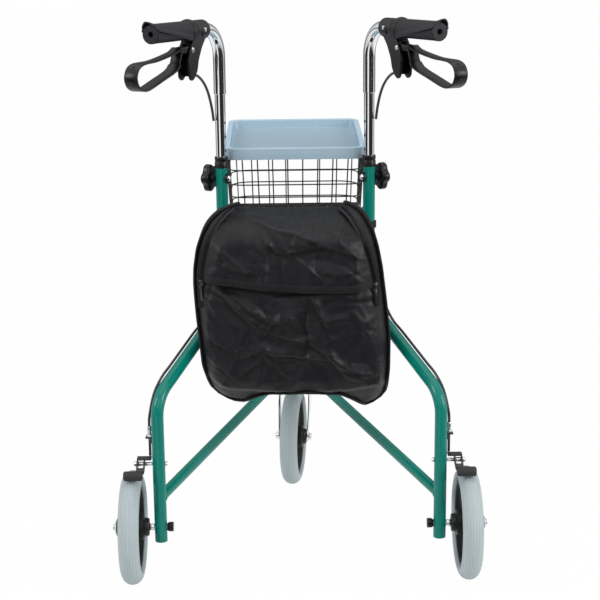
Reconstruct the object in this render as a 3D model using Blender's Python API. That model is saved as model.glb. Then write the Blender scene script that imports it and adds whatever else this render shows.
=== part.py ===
"""A three-wheeled folding rollator.

Two bent side frames are hinged on a steering head with a castor wheel, and fold together
about the two upright hinge posts. Each side frame carries a braked rear wheel and a chromed
handle stem that slides in it. A wire basket, a tray and a zip bag hang between the frames.

Metres, +Z up, +Y forward, +X to the user's right. The origin is on the ground, under the
middle of the rollator.
"""

import math
from itertools import pairwise

import bmesh
import bpy
from mathutils import Matrix, Vector

# Clearances
GAP = 0.0003
RUNNING = 0.0004
WELD = 2e-6

# Plan of the frame
SPLAY = math.radians(25.0)
HINGE_HALF_GAP = 0.020
AXLE_TO_HINGE = 0.485
HINGE_TO_UPRIGHT = 0.272
HEAD_AHEAD = 0.035
CASTOR_TRAIL = 0.050
CASTOR_TURN = math.radians(-8.0)

# Frame tubes
TUBE_RADIUS = 0.011
TUBE_BORE = 0.0099
ARM_RADIUS = 0.0095
BEND_RADIUS = 0.055
BEND_STEPS = 5
TUBE_SIDES = 12
COPE_SIDES = 20
LEG_BELOW_AXLE = 0.026
LOWER_BEND_Z = 0.336
UPPER_BEND_Z = 0.446
FRAME_TOP_Z = 0.701
BORE_FLOOR_Z = 0.490
ARM_UPRIGHT_Z = 0.620
ARM_POST_Z = 0.520
BRACE_ABOVE_AXLE = 0.054
BRACE_ABOVE_HINGE = 0.0125

# Steering head
HEAD_TUBE_RADIUS = 0.015
HEAD_TUBE_BORE = 0.0125
HEAD_ABOVE_CROWN = 0.008
HEAD_TUBE_TOP_Z = 0.562
HEAD_SIDES = 16
HINGE_ABOVE_HEAD_BOTTOM = 0.0095
HINGE_TOP_Z = 0.543
HINGE_PLATE = 0.005
HINGE_PLATE_MARGIN = 0.0045
HINGE_PIN_RADIUS = 0.005
HINGE_HEAD_RADIUS = 0.0085
HINGE_HEAD_HEIGHT = 0.005
BEARING_HEIGHT = 0.008
BEARING_SPACING = 0.072
CAP_RADIUS = 0.0165
CAP_HEIGHT = 0.007
CAP_PLUG_DEPTH = 0.010

# Wheels
WHEEL_RADIUS = 0.100
TYRE_HALF_WIDTH = 0.018
TYRE_RIBS = 5
TYRE_RIB_DEPTH = 0.0011
TYRE_DEPTH = 0.0210
RIM_THICKNESS = 0.0050
RIM_HALF_WIDTH = 0.0120
WEB_HALF_THICKNESS = 0.0040
WEB_OPENINGS = 6
SPOKE_WIDTH = 0.012
HUB_CONE_RADIUS = 0.0235
HUB_CONE_HALF = 0.0200
HUB_FLANGE_RADIUS = 0.0155
HUB_HALF = 0.0285
FRONT_HUB_HALF = 0.0265
AXLE_RADIUS = 0.004
WHEEL_SIDES = 24
WHEEL_TO_LEG = 0.049

# Rear axle ends
AXLE_BUSH_RADIUS = 0.0065
AXLE_CAP_RADIUS = 0.0125
AXLE_CAP_THICKNESS = 0.003
AXLE_NUT_RADIUS = 0.005
AXLE_NUT_LENGTH = 0.004
AXLE_SPACER_RADIUS = 0.006
AXLE_KNOB_RADIUS = 0.0085
AXLE_KNOB_LENGTH = 0.0075
AXLE_KNOB_NECK = 0.0035

# Castor fork
FORK_THICKNESS = 0.003
FORK_HALF_GAP = 0.0300
FORK_CROWN_ABOVE_WHEEL = 0.007
FORK_CROWN_WIDTH = 0.044
FORK_DROPOUT_WIDTH = 0.022
FORK_DROPOUT_BELOW_AXLE = 0.011
FORK_CORNER_RADIUS = 0.012
CASTOR_STEM_RADIUS = 0.006
CASTOR_NUT_RADIUS = 0.0105
CASTOR_NUT_HEIGHT = 0.007
CASTOR_FLANGE_RADIUS = 0.0135

# Brakes
BRAKE_BOLT_ABOVE_WHEEL = 0.018
BRAKE_BOLT_RADIUS = 0.003
BRAKE_SPACER_RADIUS = 0.0034
BRAKE_SLEEVE_RADIUS = 0.0043
BRAKE_NUT_RADIUS = 0.0048
BRAKE_NUT_LENGTH = 0.006
BRAKE_CHEEK = 0.002
BRAKE_CHEEK_START = 0.0240
BRAKE_ARM_WIDTH = 0.014
BRAKE_ARM_RADIUS = 0.0068
BRAKE_LUG_HEIGHT = 0.0085
BRAKE_LUG_THICKNESS = 0.003
BRAKE_LUG_RISE = 0.002
BRAKE_SHOE_RADIUS = 0.0085
BRAKE_SHOE_LENGTH = 0.033
BRAKE_SHOE_GAP = 0.003
BRAKE_SHOE_ANGLE = math.radians(16.0)
CABLE_STOP_ABOVE_BOLT = 0.048
CABLE_STOP_REACH = 0.022
CABLE_STOP_WIDTH = 0.012
CABLE_STOP_THICKNESS = 0.003
CABLE_RADIUS = 0.0024
CABLE_OUTBOARD = 0.0150
CABLE_FORWARD = 0.0080
CABLE_END_CLEARANCE = 0.002

# Handle stems
STEM_RADIUS = 0.011
STEM_LOWER_RADIUS = 0.0095
STEM_STEP_BELOW_BAR = 0.118
STEM_STEP_LENGTH = 0.002
STEM_BOTTOM_Z = 0.600
STEM_BEND_RADIUS = 0.052
HANDLE_Z = 0.953
GRIP_START = 0.1060
GRIP_END = 0.2410
HANDLE_END_SETBACK = 0.004
HOLE_PITCH = 0.0254
HOLES_ABOVE_KNOB = 4
HOLES_BELOW_KNOB = 2
HOLE_RADIUS = 0.003
COLLAR_RADIUS = 0.0123
COLLAR_HEIGHT = 0.021
KNOB_Z = 0.682
KNOB_RADIUS = 0.0255
KNOB_LOBES = 5
KNOB_LOBE_DEPTH = 0.0045
KNOB_THICKNESS = 0.014
KNOB_NECK_LENGTH = 0.006
KNOB_NECK_RADIUS = 0.010
KNOB_SCREW_RADIUS = 0.003
BOLT_CUP_RADIUS = 0.0093
BOLT_CUP_DEPTH = 0.004
BOLT_DOME_RADIUS = 0.006
BOLT_DOME_HEIGHT = 0.004

# Grips
GRIP_RADIUS = 0.0152
PALM_RADIUS = 0.0172
PALM_TIP_RADIUS = 0.0235
PALM_TIP_LENGTH = 0.016
GRIP_COLLAR_RADIUS = 0.0200
GRIP_COLLAR_LENGTH = 0.016
GRIP_END_HOLE_RADIUS = 0.0060
GRIP_END_HOLE_DEPTH = 0.003
GRIP_SIDES = 16

# Brake lever and its housing: places are (back from the stem's axis, up from the bar's axis)
HOUSING_CLAMP_START = 0.0620
HOUSING_CLAMP_RADIUS = 0.0172
HOUSING_HALF_WIDTH = 0.0125
HOUSING_SLOT_HALF = 0.0085
HOUSING_EDGE = 0.003
HOUSING_FRONT = (
    (0.064, 0.000), (0.072, -0.015), (0.086, -0.030), (0.098, -0.050), (0.103, -0.067), (0.112, -0.079),
)
HOUSING_REAR = ((0.122, -0.085), (0.131, -0.080), (0.134, -0.053), (0.128, -0.031), (0.104, 0.000))
LEVER_PIVOT = (0.121, -0.0315)
LEVER_PIN_RADIUS = 0.0030
LEVER_PIN_PROUD = 0.0006
LEVER_EYE_RADIUS = 0.0075
LEVER_BAND = 0.003
LEVER_HALF_WIDTH = 0.0125
LEVER_TANG_HALF = 0.0080
LEVER_TANG_ROOT = 0.004
LEVER_CLEARANCE = 0.002
LEVER_LOOP = (
    (0.152, -0.0270), (0.173, -0.0340), (0.233, -0.0425), (0.268, -0.0440), (0.2860, -0.0455),
    (0.3005, -0.0515), (0.3075, -0.0645), (0.3025, -0.0780), (0.2880, -0.0860), (0.268, -0.0865),
    (0.225, -0.0760), (0.182, -0.0650), (0.166, -0.0570), (0.158, -0.0450),
)

# Brake cables: the upper one from the bar's axis, the lower one from the ends of the sloping run
UPPER_CABLE = (
    (0.1010, 0.0000, -0.0740), (0.0945, 0.0000, -0.0758), (0.0780, 0.0010, -0.0805),
    (0.0590, 0.0025, -0.0910), (0.0420, 0.0040, -0.1060), (0.0275, 0.0060, -0.1250),
    (0.0165, 0.0075, -0.1470), (0.0105, 0.0085, -0.1650),
)
LOWER_CABLE_TOP = (
    (0.000, 0.0137, 0.066), (0.001, 0.0137, 0.057), (0.006, 0.0152, 0.040), (0.022, 0.0145, 0.017),
)
LOWER_CABLE_BEND = ((-0.016, 0.0142, 0.003), (-0.002, 0.0158, -0.030))
LOWER_CABLE_LIFT = 0.0100
LOWER_CABLE_SIDE = 0.0108
CABLE_ABOVE_STOP = 0.022

# Folding stay under the two arms
STAY_TO_HINGE = 0.130
STAY_LENGTH = 0.090
STAY_HALF_WIDTH = 0.008
STAY_THICKNESS = 0.003
STAY_PIN_RADIUS = 0.003
STAY_PIN_HEAD_RADIUS = 0.011
STAY_SLACK_RADIUS = 0.0088
STAY_EYE_RADIUS = 0.0130
STAY_PIN_DEPTH = 0.008
STAY_BELOW_ARM = 0.0008

# Wire basket
WIRE_THICKNESS = 0.0024
BASKET_HALF_WIDTH = 0.1255
BASKET_DEPTH = 0.190
BASKET_FRONT_RADIUS = 0.040
BASKET_REAR_RADIUS = 0.0279
BASKET_RIM_Z = 0.7139
BASKET_RING_Z = (0.6925, 0.6655, 0.6410)
BASKET_BAYS_REAR = 7
BASKET_TAPER = 0.005
BASKET_OVER_ARMS = 0.0073
FOOT_WIRE_RADIUS = 0.0014
FOOT_HALF_WIDTH = 0.0065
FOOT_SPREAD = 0.0085
HANGER_WIRE_RADIUS = 0.0017
HANGER_HALF_WIDTH = 0.030
HANGER_PAST_HEAD = 0.006

# Tray
TRAY_HALF_WIDTH = 0.130
TRAY_DEPTH = 0.270
TRAY_HEIGHT = 0.0212
TRAY_FOOT = 0.0034
TRAY_WALL = 0.0022
TRAY_LIP = 0.0095
TRAY_DRAFT = 0.0035
TRAY_CORNER_RADIUS = 0.022
TRAY_TILT = math.radians(5.0)
KNOB_CLEARANCE = 0.0022

# Zip bag, from the rear axle line and the ground
BAG_CENTRE_X = -0.009
BAG_NEAR_Y = 0.066
BAG_DEPTH = 0.145
BAG_FLAP_STEP = 0.006
BAG_FLAP_Z = 0.510
BAG_HALF_WIDTHS = (
    (0.300, 0.118), (0.322, 0.147), (0.370, 0.163), (0.440, 0.1695), (0.500, 0.1690),
    (0.512, 0.1685), (0.550, 0.1620), (0.595, 0.1480), (0.622, 0.1340), (0.632, 0.1200),
)

BAG_STRAP_Z = (0.5875, 0.6000)
BAG_STRAP_THICKNESS = 0.0025
BAG_STRAP_X = 0.100

# Places that follow from the sizes above
tyre_core_radius = WHEEL_RADIUS - TYRE_HALF_WIDTH
wheel_reach = tyre_core_radius * math.cos(CASTOR_TURN) + TYRE_HALF_WIDTH
front_reach = AXLE_TO_HINGE + HEAD_AHEAD - CASTOR_TRAIL * math.cos(CASTOR_TURN) + wheel_reach
rear_axle_y = (WHEEL_RADIUS - front_reach) / 2
hinge_y = rear_axle_y + AXLE_TO_HINGE
head_y = hinge_y + HEAD_AHEAD
leg_radius_out = AXLE_TO_HINGE / math.cos(SPLAY)
leg_x = HINGE_HALF_GAP + leg_radius_out * math.sin(SPLAY)
crown_bottom_z = 2 * WHEEL_RADIUS + FORK_CROWN_ABOVE_WHEEL
crown_top_z = crown_bottom_z + FORK_THICKNESS
head_bottom_z = crown_top_z + HEAD_ABOVE_CROWN
hinge_bottom_z = head_bottom_z + HINGE_ABOVE_HEAD_BOTTOM
rim_radius = WHEEL_RADIUS - TYRE_DEPTH
leg_bottom_z = WHEEL_RADIUS - LEG_BELOW_AXLE
brace_leg_z = WHEEL_RADIUS + BRACE_ABOVE_AXLE
brace_post_z = hinge_bottom_z + BRACE_ABOVE_HINGE
brake_bolt_z = 2 * WHEEL_RADIUS + BRAKE_BOLT_ABOVE_WHEEL
cable_stop_z = brake_bolt_z + CABLE_STOP_ABOVE_BOLT
cap_bore = HEAD_TUBE_BORE - GAP
SIDES = {"left": -1, "right": 1}
PLACES = {}
MATERIALS = {}

for old in list(bpy.data.objects):
    bpy.data.objects.remove(old)


# Finishes
def finish(name, color, roughness, metallic=0.0):
    """A plain Principled material of this colour."""
    material = bpy.data.materials.new(name)
    material.use_nodes = True
    shader = material.node_tree.nodes["Principled BSDF"]
    shader.inputs["Base Color"].default_value = (*color, 1.0)
    shader.inputs["Roughness"].default_value = roughness
    shader.inputs["Metallic"].default_value = metallic
    material.diffuse_color = (*color, 1.0)
    MATERIALS[name] = material


finish("green_paint", (0.0, 0.20, 0.155), 0.28)
finish("chrome", (0.75, 0.76, 0.78), 0.10, 1.0)
finish("zinc_steel", (0.60, 0.61, 0.63), 0.30, 1.0)
finish("black_plastic", (0.035, 0.035, 0.038), 0.45)
finish("black_rubber", (0.030, 0.030, 0.032), 0.75)
finish("black_steel", (0.018, 0.018, 0.020), 0.38, 0.6)
finish("grey_tyre", (0.44, 0.50, 0.51), 0.60)
finish("tray_plastic", (0.37, 0.50, 0.61), 0.42)
finish("bag_fabric", (0.022, 0.022, 0.026), 0.85)


# Placing
def world_of(parent):
    """Where a joint axis lies in the world."""
    return PLACES[parent.name] if parent else Matrix.Identity(4)


def axis_at(name, world, parent=None):
    """An empty on a joint's axis, given by its place in the world."""
    made = bpy.data.objects.new(name, None)
    bpy.context.scene.collection.objects.link(made)
    made.parent = parent
    made.matrix_basis = world_of(parent).inverted() @ world
    made.empty_display_size = 0.03
    PLACES[name] = world
    return made


def piece(name, mesh, material, parent):
    """One solid of the rollator, modelled about its parent axis."""
    made = bpy.data.objects.new(name, mesh)
    bpy.context.scene.collection.objects.link(made)
    mesh.name = name
    mesh.materials.clear()
    mesh.materials.append(MATERIALS[material])
    mesh.shade_smooth()
    mesh.set_sharp_from_angle(angle=math.radians(35))
    made.parent = parent
    return made


def piece_curve(name, curve, parent):
    """A cord, kept as a curve object."""
    made = bpy.data.objects.new(name, curve)
    bpy.context.scene.collection.objects.link(made)
    curve.materials.append(MATERIALS["black_rubber"])
    made.parent = parent


# Shaping
def to_mesh(bm):
    """The bmesh as a mesh with its faces turned outwards."""
    bmesh.ops.remove_doubles(bm, verts=bm.verts, dist=WELD)
    bmesh.ops.recalc_face_normals(bm, faces=bm.faces)
    mesh = bpy.data.meshes.new("shape")
    bm.to_mesh(mesh)
    bm.free()
    return mesh


def circle(radius, sides, start=0.0):
    """Points of a circle, as pairs."""
    turns = (start + math.tau * i / sides for i in range(sides))
    return [(radius * math.cos(turn), radius * math.sin(turn)) for turn in turns]


def loft(sections, ring=False):
    """A skin through equal sections of points, closed by end faces or into a ring."""
    bm = bmesh.new()
    rows = [[bm.verts.new(point) for point in section] for section in sections]
    count = len(rows[0])
    for near, far in pairwise(rows + rows[:1] if ring else rows):
        for i in range(count):
            after = (i + 1) % count
            bm.faces.new((near[i], near[after], far[after], far[i]))
    if not ring:
        bm.faces.new(rows[0])
        bm.faces.new(rows[-1])
    return to_mesh(bm)


def path_frames(points, side, ring=False):
    """Frames along a plane path: Z along it, X along the side vector."""
    frames = []
    last = len(points) - 1
    for i, point in enumerate(points):
        before = points[i - 1] if ring or i > 0 else point
        after = points[(i + 1) % len(points)] if ring or i < last else point
        along = (after - before).normalized()
        cross = along.cross(side)
        frames.append(Matrix((side, cross, along)).transposed().to_4x4())
        frames[-1].translation = point
    return frames


def swept(points, side, sections, ring=False):
    """A skin of sections, one for each point of a plane path."""
    frames = path_frames(points, side, ring)
    placed = [
        [frame @ Vector((x, y, 0.0)) for x, y in section]
        for frame, section in zip(frames, sections)
    ]
    return loft(placed, ring)


def filleted(corners, radius, steps):
    """The corner points with each inner corner turned into an arc."""
    corners = [Vector(corner) for corner in corners]
    points = [corners[0]]
    for before, corner, after in zip(corners, corners[1:], corners[2:]):
        into = (before - corner).normalized()
        out = (after - corner).normalized()
        half = into.angle(out) / 2
        centre = corner + (into + out).normalized() * radius / math.sin(half)
        start = corner + into * radius / math.tan(half) - centre
        end = corner + out * radius / math.tan(half) - centre
        points += [centre + start.slerp(end, i / steps) * radius for i in range(steps + 1)]
    return points + [corners[-1]]


def turned(profile, sides, axis="Z"):
    """A profile of (radius, height) pairs spun about an axis. It closes on itself or on the axis."""
    bm = bmesh.new()
    verts = [bm.verts.new((radius, 0.0, height)) for radius, height in profile]
    edges = [bm.edges.new(pair) for pair in pairwise(verts)]
    if profile[0][0] > 0 or profile[-1][0] > 0:
        edges.append(bm.edges.new((verts[-1], verts[0])))
    bmesh.ops.spin(
        bm, geom=verts + edges, cent=(0, 0, 0), axis=(0, 0, 1), angle=math.tau, steps=sides,
        use_merge=True,
    )
    turns = {"X": Matrix.Rotation(math.pi / 2, 4, "Y"), "Y": Matrix.Rotation(-math.pi / 2, 4, "X")}
    bm.transform(turns.get(axis, Matrix.Identity(4)))
    return to_mesh(bm)


def ring_profile(bore, radius, bottom, top):
    """The profile of a plain ring or tube."""
    return [(bore, bottom), (radius, bottom), (radius, top), (bore, top)]


def rod(start, end, radius, sides, turn=0.0):
    """A round bar from one point to another, turned about its own axis."""
    start, end = Vector(start), Vector(end)
    along = end - start
    bm = bmesh.new()
    bmesh.ops.create_cone(
        bm, cap_ends=True, segments=sides, radius1=radius, radius2=radius, depth=along.length,
    )
    place = along.to_track_quat("Z", "Y").to_matrix().to_4x4()
    place.translation = (start + end) / 2
    bm.transform(place @ Matrix.Rotation(turn, 4, "Z"))
    return to_mesh(bm)


def block(low, high, bevel=0.0):
    """A box between two corners, with its edges rounded by bevel."""
    low, high = Vector(low), Vector(high)
    bm = bmesh.new()
    bmesh.ops.create_cube(bm, size=1.0)
    size = Matrix.Diagonal((*(high - low), 1.0))
    bm.transform(Matrix.Translation((low + high) / 2) @ size)
    if bevel:
        bmesh.ops.bevel(
            bm, geom=bm.edges, offset=bevel, segments=1, affect="EDGES", profile=0.5, material=-1
        )
    return to_mesh(bm)


def prism(outline, low, high, plane="XZ"):
    """An outline of pairs in a plane, pulled out between two distances from it."""
    place = {
        "XZ": lambda a, b, out: (a, out, b),
        "XY": lambda a, b, out: (a, b, out),
        "YZ": lambda a, b, out: (out, a, b),
    }[plane]
    return loft([[Vector(place(a, b, out)) for a, b in outline] for out in (low, high)])


def hull(*meshes):
    """The convex hull of some shapes, such as the outline round several bosses."""
    bm = bmesh.new()
    for mesh in meshes:
        bm.from_mesh(mesh)
    made = bmesh.ops.convex_hull(bm, input=bm.verts)
    inside = {v for v in made["geom_interior"] + made["geom_unused"] if isinstance(v, bmesh.types.BMVert)}
    bmesh.ops.delete(bm, geom=list(inside), context="VERTS")
    bmesh.ops.dissolve_limit(bm, angle_limit=0.01, verts=bm.verts, edges=bm.edges)
    return to_mesh(bm)


def shaped(mesh, *tools, operation="DIFFERENCE"):
    """The mesh with each tool cut from it, or joined to it."""
    helpers = [bpy.data.objects.new("helper", shape) for shape in (mesh, *tools)]
    for helper in helpers:
        bpy.context.scene.collection.objects.link(helper)
    for tool in helpers[1:]:
        modifier = helpers[0].modifiers.new("shape", "BOOLEAN")
        modifier.operation = operation
        modifier.object = tool
    graph = bpy.context.evaluated_depsgraph_get()
    bm = bmesh.new()
    bm.from_mesh(helpers[0].evaluated_get(graph).to_mesh())
    for helper in helpers:
        bpy.data.objects.remove(helper)
    bmesh.ops.remove_doubles(bm, verts=bm.verts, dist=WELD)
    bmesh.ops.dissolve_degenerate(bm, edges=bm.edges, dist=WELD)
    return to_mesh(bm)


def joined(mesh, *tools):
    """The mesh with each tool joined to it."""
    return shaped(mesh, *tools, operation="UNION")


def moved(mesh, matrix):
    """A moved copy of the mesh."""
    mesh = mesh.copy()
    mesh.transform(matrix)
    return mesh


def outward(mesh):
    """The mesh with its faces turned outwards again, after a mirroring move."""
    bm = bmesh.new()
    bm.from_mesh(mesh)
    bmesh.ops.recalc_face_normals(bm, faces=bm.faces)
    bm.to_mesh(mesh)
    bm.free()
    return mesh


def outer(radius, sides):
    """The corner radius of a many-sided bore that leaves the running clearance round a shaft."""
    return (radius + RUNNING) / math.cos(math.pi / sides)


def cord(points, radius, steps):
    """A round cord on a smooth curve through the points, in this many steps between them."""
    fine = []
    padded = [points[0], *points, points[-1]]
    for a, b, c, d in zip(padded, padded[1:], padded[2:], padded[3:]):
        for i in range(steps):
            t = i / steps
            bend, twist = 2 * a - 5 * b + 4 * c - d, 3 * b - a - 3 * c + d
            fine.append(0.5 * (2 * b + (c - a) * t + bend * t**2 + twist * t**3))
    fine.append(points[-1])
    curve = bpy.data.curves.new("cord", "CURVE")
    curve.dimensions = "3D"
    curve.bevel_depth = radius
    curve.bevel_resolution = 2
    curve.use_fill_caps = True
    spline = curve.splines.new("POLY")
    spline.points.add(len(fine) - 1)
    for slot, point in zip(spline.points, fine):
        slot.co = (*point, 1.0)
    return curve


def wire(points, radius, steps):
    """A round wire through the points, as a mesh."""
    helper = bpy.data.objects.new("helper", cord(points, radius, steps))
    bpy.context.scene.collection.objects.link(helper)
    graph = bpy.context.evaluated_depsgraph_get()
    made = bpy.data.meshes.new_from_object(helper.evaluated_get(graph))
    bpy.data.objects.remove(helper)
    return made


# Side frames
def side_axis(side):
    """The place of a side frame's hinge: X runs back along the frame."""
    back = math.atan2(-math.cos(SPLAY), side * math.sin(SPLAY))
    return Matrix.Translation((side * HINGE_HALF_GAP, hinge_y, 0)) @ Matrix.Rotation(back, 4, "Z")


def frame_path():
    """The centre line of a side frame's main tube, as (distance from hinge, height)."""
    return filleted(
        [
            (leg_radius_out, leg_bottom_z),
            (leg_radius_out, LOWER_BEND_Z),
            (HINGE_TO_UPRIGHT, UPPER_BEND_Z),
            (HINGE_TO_UPRIGHT, FRAME_TOP_Z),
        ],
        BEND_RADIUS,
        BEND_STEPS,
    )


def crosswise(side, across, forward, z):
    """A point given across and ahead of the leg's axis, in the side frame's own axes."""
    r = leg_radius_out + across * math.sin(SPLAY) - forward * math.cos(SPLAY)
    n = across * math.cos(SPLAY) + forward * math.sin(SPLAY)
    return Vector((r, side * n, z))


def make_main_tube(name, side, parent):
    """The bent tube: the leg, the sloping run and the upright, bored for the handle stem."""
    points = [Vector((r, 0, z)) for r, z in frame_path()]
    section = circle(TUBE_RADIUS, TUBE_SIDES)
    tube = swept(points, Vector((0, 1, 0)), [section] * len(points))
    bore = rod(
        (HINGE_TO_UPRIGHT, 0, BORE_FLOOR_Z), (HINGE_TO_UPRIGHT, 0, FRAME_TOP_Z + 0.01),
        TUBE_BORE, TUBE_SIDES,
    )
    holes = [
        rod(crosswise(side, -0.02, 0, z), crosswise(side, 0.02, 0, z), radius + GAP, 8)
        for z, radius in ((WHEEL_RADIUS, AXLE_RADIUS), (brake_bolt_z, BRAKE_BOLT_RADIUS))
    ]
    holes.append(
        rod(
            (HINGE_TO_UPRIGHT, side * 0.005, KNOB_Z), (HINGE_TO_UPRIGHT, side * 0.02, KNOB_Z),
            outer(KNOB_SCREW_RADIUS, 8), 8,
        )
    )
    piece(name, shaped(tube, bore, *holes), "green_paint", parent)


def coped(start, end, first_radius, last_radius, cut_by):
    """A straight tube between two upright tubes, its ends cut to their rounds."""
    bar = rod(start, end, ARM_RADIUS, TUBE_SIDES)
    cutters = [
        rod(point + Vector((0, 0, -0.03)), point + Vector((0, 0, 0.03)), outer_of, COPE_SIDES)
        for point, outer_of in ((start, first_radius), (end, last_radius))
    ]
    return shaped(bar, *cutters, *cut_by)


def make_upper_arm(name, parent):
    """The sloping arm from the upright down to the hinge post, drilled for the stay's pin."""
    start = Vector((HINGE_TO_UPRIGHT, 0, ARM_UPRIGHT_Z))
    end = Vector((0, 0, ARM_POST_Z))
    pin_hole = rod(
        (STAY_TO_HINGE, 0, stay_top_z() - 0.004), (STAY_TO_HINGE, 0, stay_top_z() + STAY_PIN_DEPTH + 0.002),
        outer(STAY_PIN_RADIUS, 8), 8, math.pi / 8,
    )
    reach = TUBE_RADIUS + GAP
    piece(name, coped(start, end, reach, reach, [pin_hole]), "green_paint", parent)


def make_brace(name, parent):
    """The lower tube from the leg to the hinge post."""
    start = Vector((leg_radius_out, 0, brace_leg_z))
    end = Vector((0, 0, brace_post_z))
    reach = TUBE_RADIUS + GAP
    piece(name, coped(start, end, reach, reach, []), "green_paint", parent)


def make_hinge_post(name, parent):
    """The tube that turns on the hinge pin, between the two plates of the head."""
    bore = outer(HINGE_PIN_RADIUS, TUBE_SIDES)
    profile = ring_profile(bore, TUBE_RADIUS, hinge_bottom_z + RUNNING, HINGE_TOP_Z - RUNNING)
    piece(name, turned(profile, TUBE_SIDES), "green_paint", parent)


# Steering head
def make_hinge_plate(name, bottom, parent):
    """A plate welded round the head tube, with a hole for each hinge pin."""
    top = bottom + HINGE_PLATE
    bosses = [
        rod((x, -HEAD_AHEAD, bottom), (x, -HEAD_AHEAD, top), TUBE_RADIUS + HINGE_PLATE_MARGIN, 12)
        for x in (-HINGE_HALF_GAP, HINGE_HALF_GAP)
    ]
    collar = rod((0, 0, bottom), (0, 0, top), HEAD_TUBE_RADIUS + HINGE_PLATE_MARGIN, 16)
    holes = [rod((0, 0, bottom - 0.01), (0, 0, top + 0.01), HEAD_TUBE_RADIUS + GAP, HEAD_SIDES)]
    holes += [
        rod((x, -HEAD_AHEAD, bottom - 0.01), (x, -HEAD_AHEAD, top + 0.01), HINGE_PIN_RADIUS + GAP, 12)
        for x in (-HINGE_HALF_GAP, HINGE_HALF_GAP)
    ]
    piece(name, shaped(hull(*bosses, collar), *holes), "green_paint", parent)


def make_hinge_pin(name, side, parent):
    """The long bolt of one hinge, from under the lower plate to over the upper one."""
    low = hinge_bottom_z - HINGE_PLATE - GAP
    high = HINGE_TOP_Z + HINGE_PLATE + GAP
    profile = [
        (0, low - HINGE_HEAD_HEIGHT), (HINGE_HEAD_RADIUS, low - HINGE_HEAD_HEIGHT),
        (HINGE_HEAD_RADIUS, low), (HINGE_PIN_RADIUS, low), (HINGE_PIN_RADIUS, high),
        (HINGE_HEAD_RADIUS, high), (HINGE_HEAD_RADIUS, high + HINGE_HEAD_HEIGHT * 0.6),
        (HINGE_HEAD_RADIUS * 0.6, high + HINGE_HEAD_HEIGHT), (0, high + HINGE_HEAD_HEIGHT),
    ]
    mesh = turned(profile, 12)
    place = Matrix.Translation((side * HINGE_HALF_GAP, -HEAD_AHEAD, 0))
    piece(name, moved(mesh, place), "zinc_steel", parent)


def make_head(parent):
    """The head tube with its plates, cap, bearings and hinge pins."""
    profile = ring_profile(HEAD_TUBE_BORE, HEAD_TUBE_RADIUS, head_bottom_z, HEAD_TUBE_TOP_Z)
    piece("head_tube", turned(profile, HEAD_SIDES), "green_paint", parent)
    make_hinge_plate("lower_hinge_plate", hinge_bottom_z - HINGE_PLATE, parent)
    make_hinge_plate("upper_hinge_plate", HINGE_TOP_Z, parent)
    foot = HEAD_TUBE_TOP_Z + GAP
    cap = [
        (0, foot - CAP_PLUG_DEPTH), (cap_bore, foot - CAP_PLUG_DEPTH), (cap_bore, foot),
        (CAP_RADIUS, foot), (CAP_RADIUS, foot + CAP_HEIGHT * 0.5),
        (CAP_RADIUS * 0.75, foot + CAP_HEIGHT * 0.9), (0, foot + CAP_HEIGHT),
    ]
    piece("head_cap", turned(cap, HEAD_SIDES), "black_plastic", parent)
    bearing = ring_profile(
        outer(CASTOR_STEM_RADIUS, HEAD_SIDES), HEAD_TUBE_BORE - GAP, 0, BEARING_HEIGHT
    )
    for name, z in (
        ("lower_castor_bearing", head_bottom_z + GAP),
        ("upper_castor_bearing", head_bottom_z + BEARING_SPACING),
    ):
        mesh = moved(turned(bearing, HEAD_SIDES), Matrix.Translation((0, 0, z)))
        piece(name, mesh, "zinc_steel", parent)
    for word, side in SIDES.items():
        make_hinge_pin(f"{word}_hinge_pin", side, parent)


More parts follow.
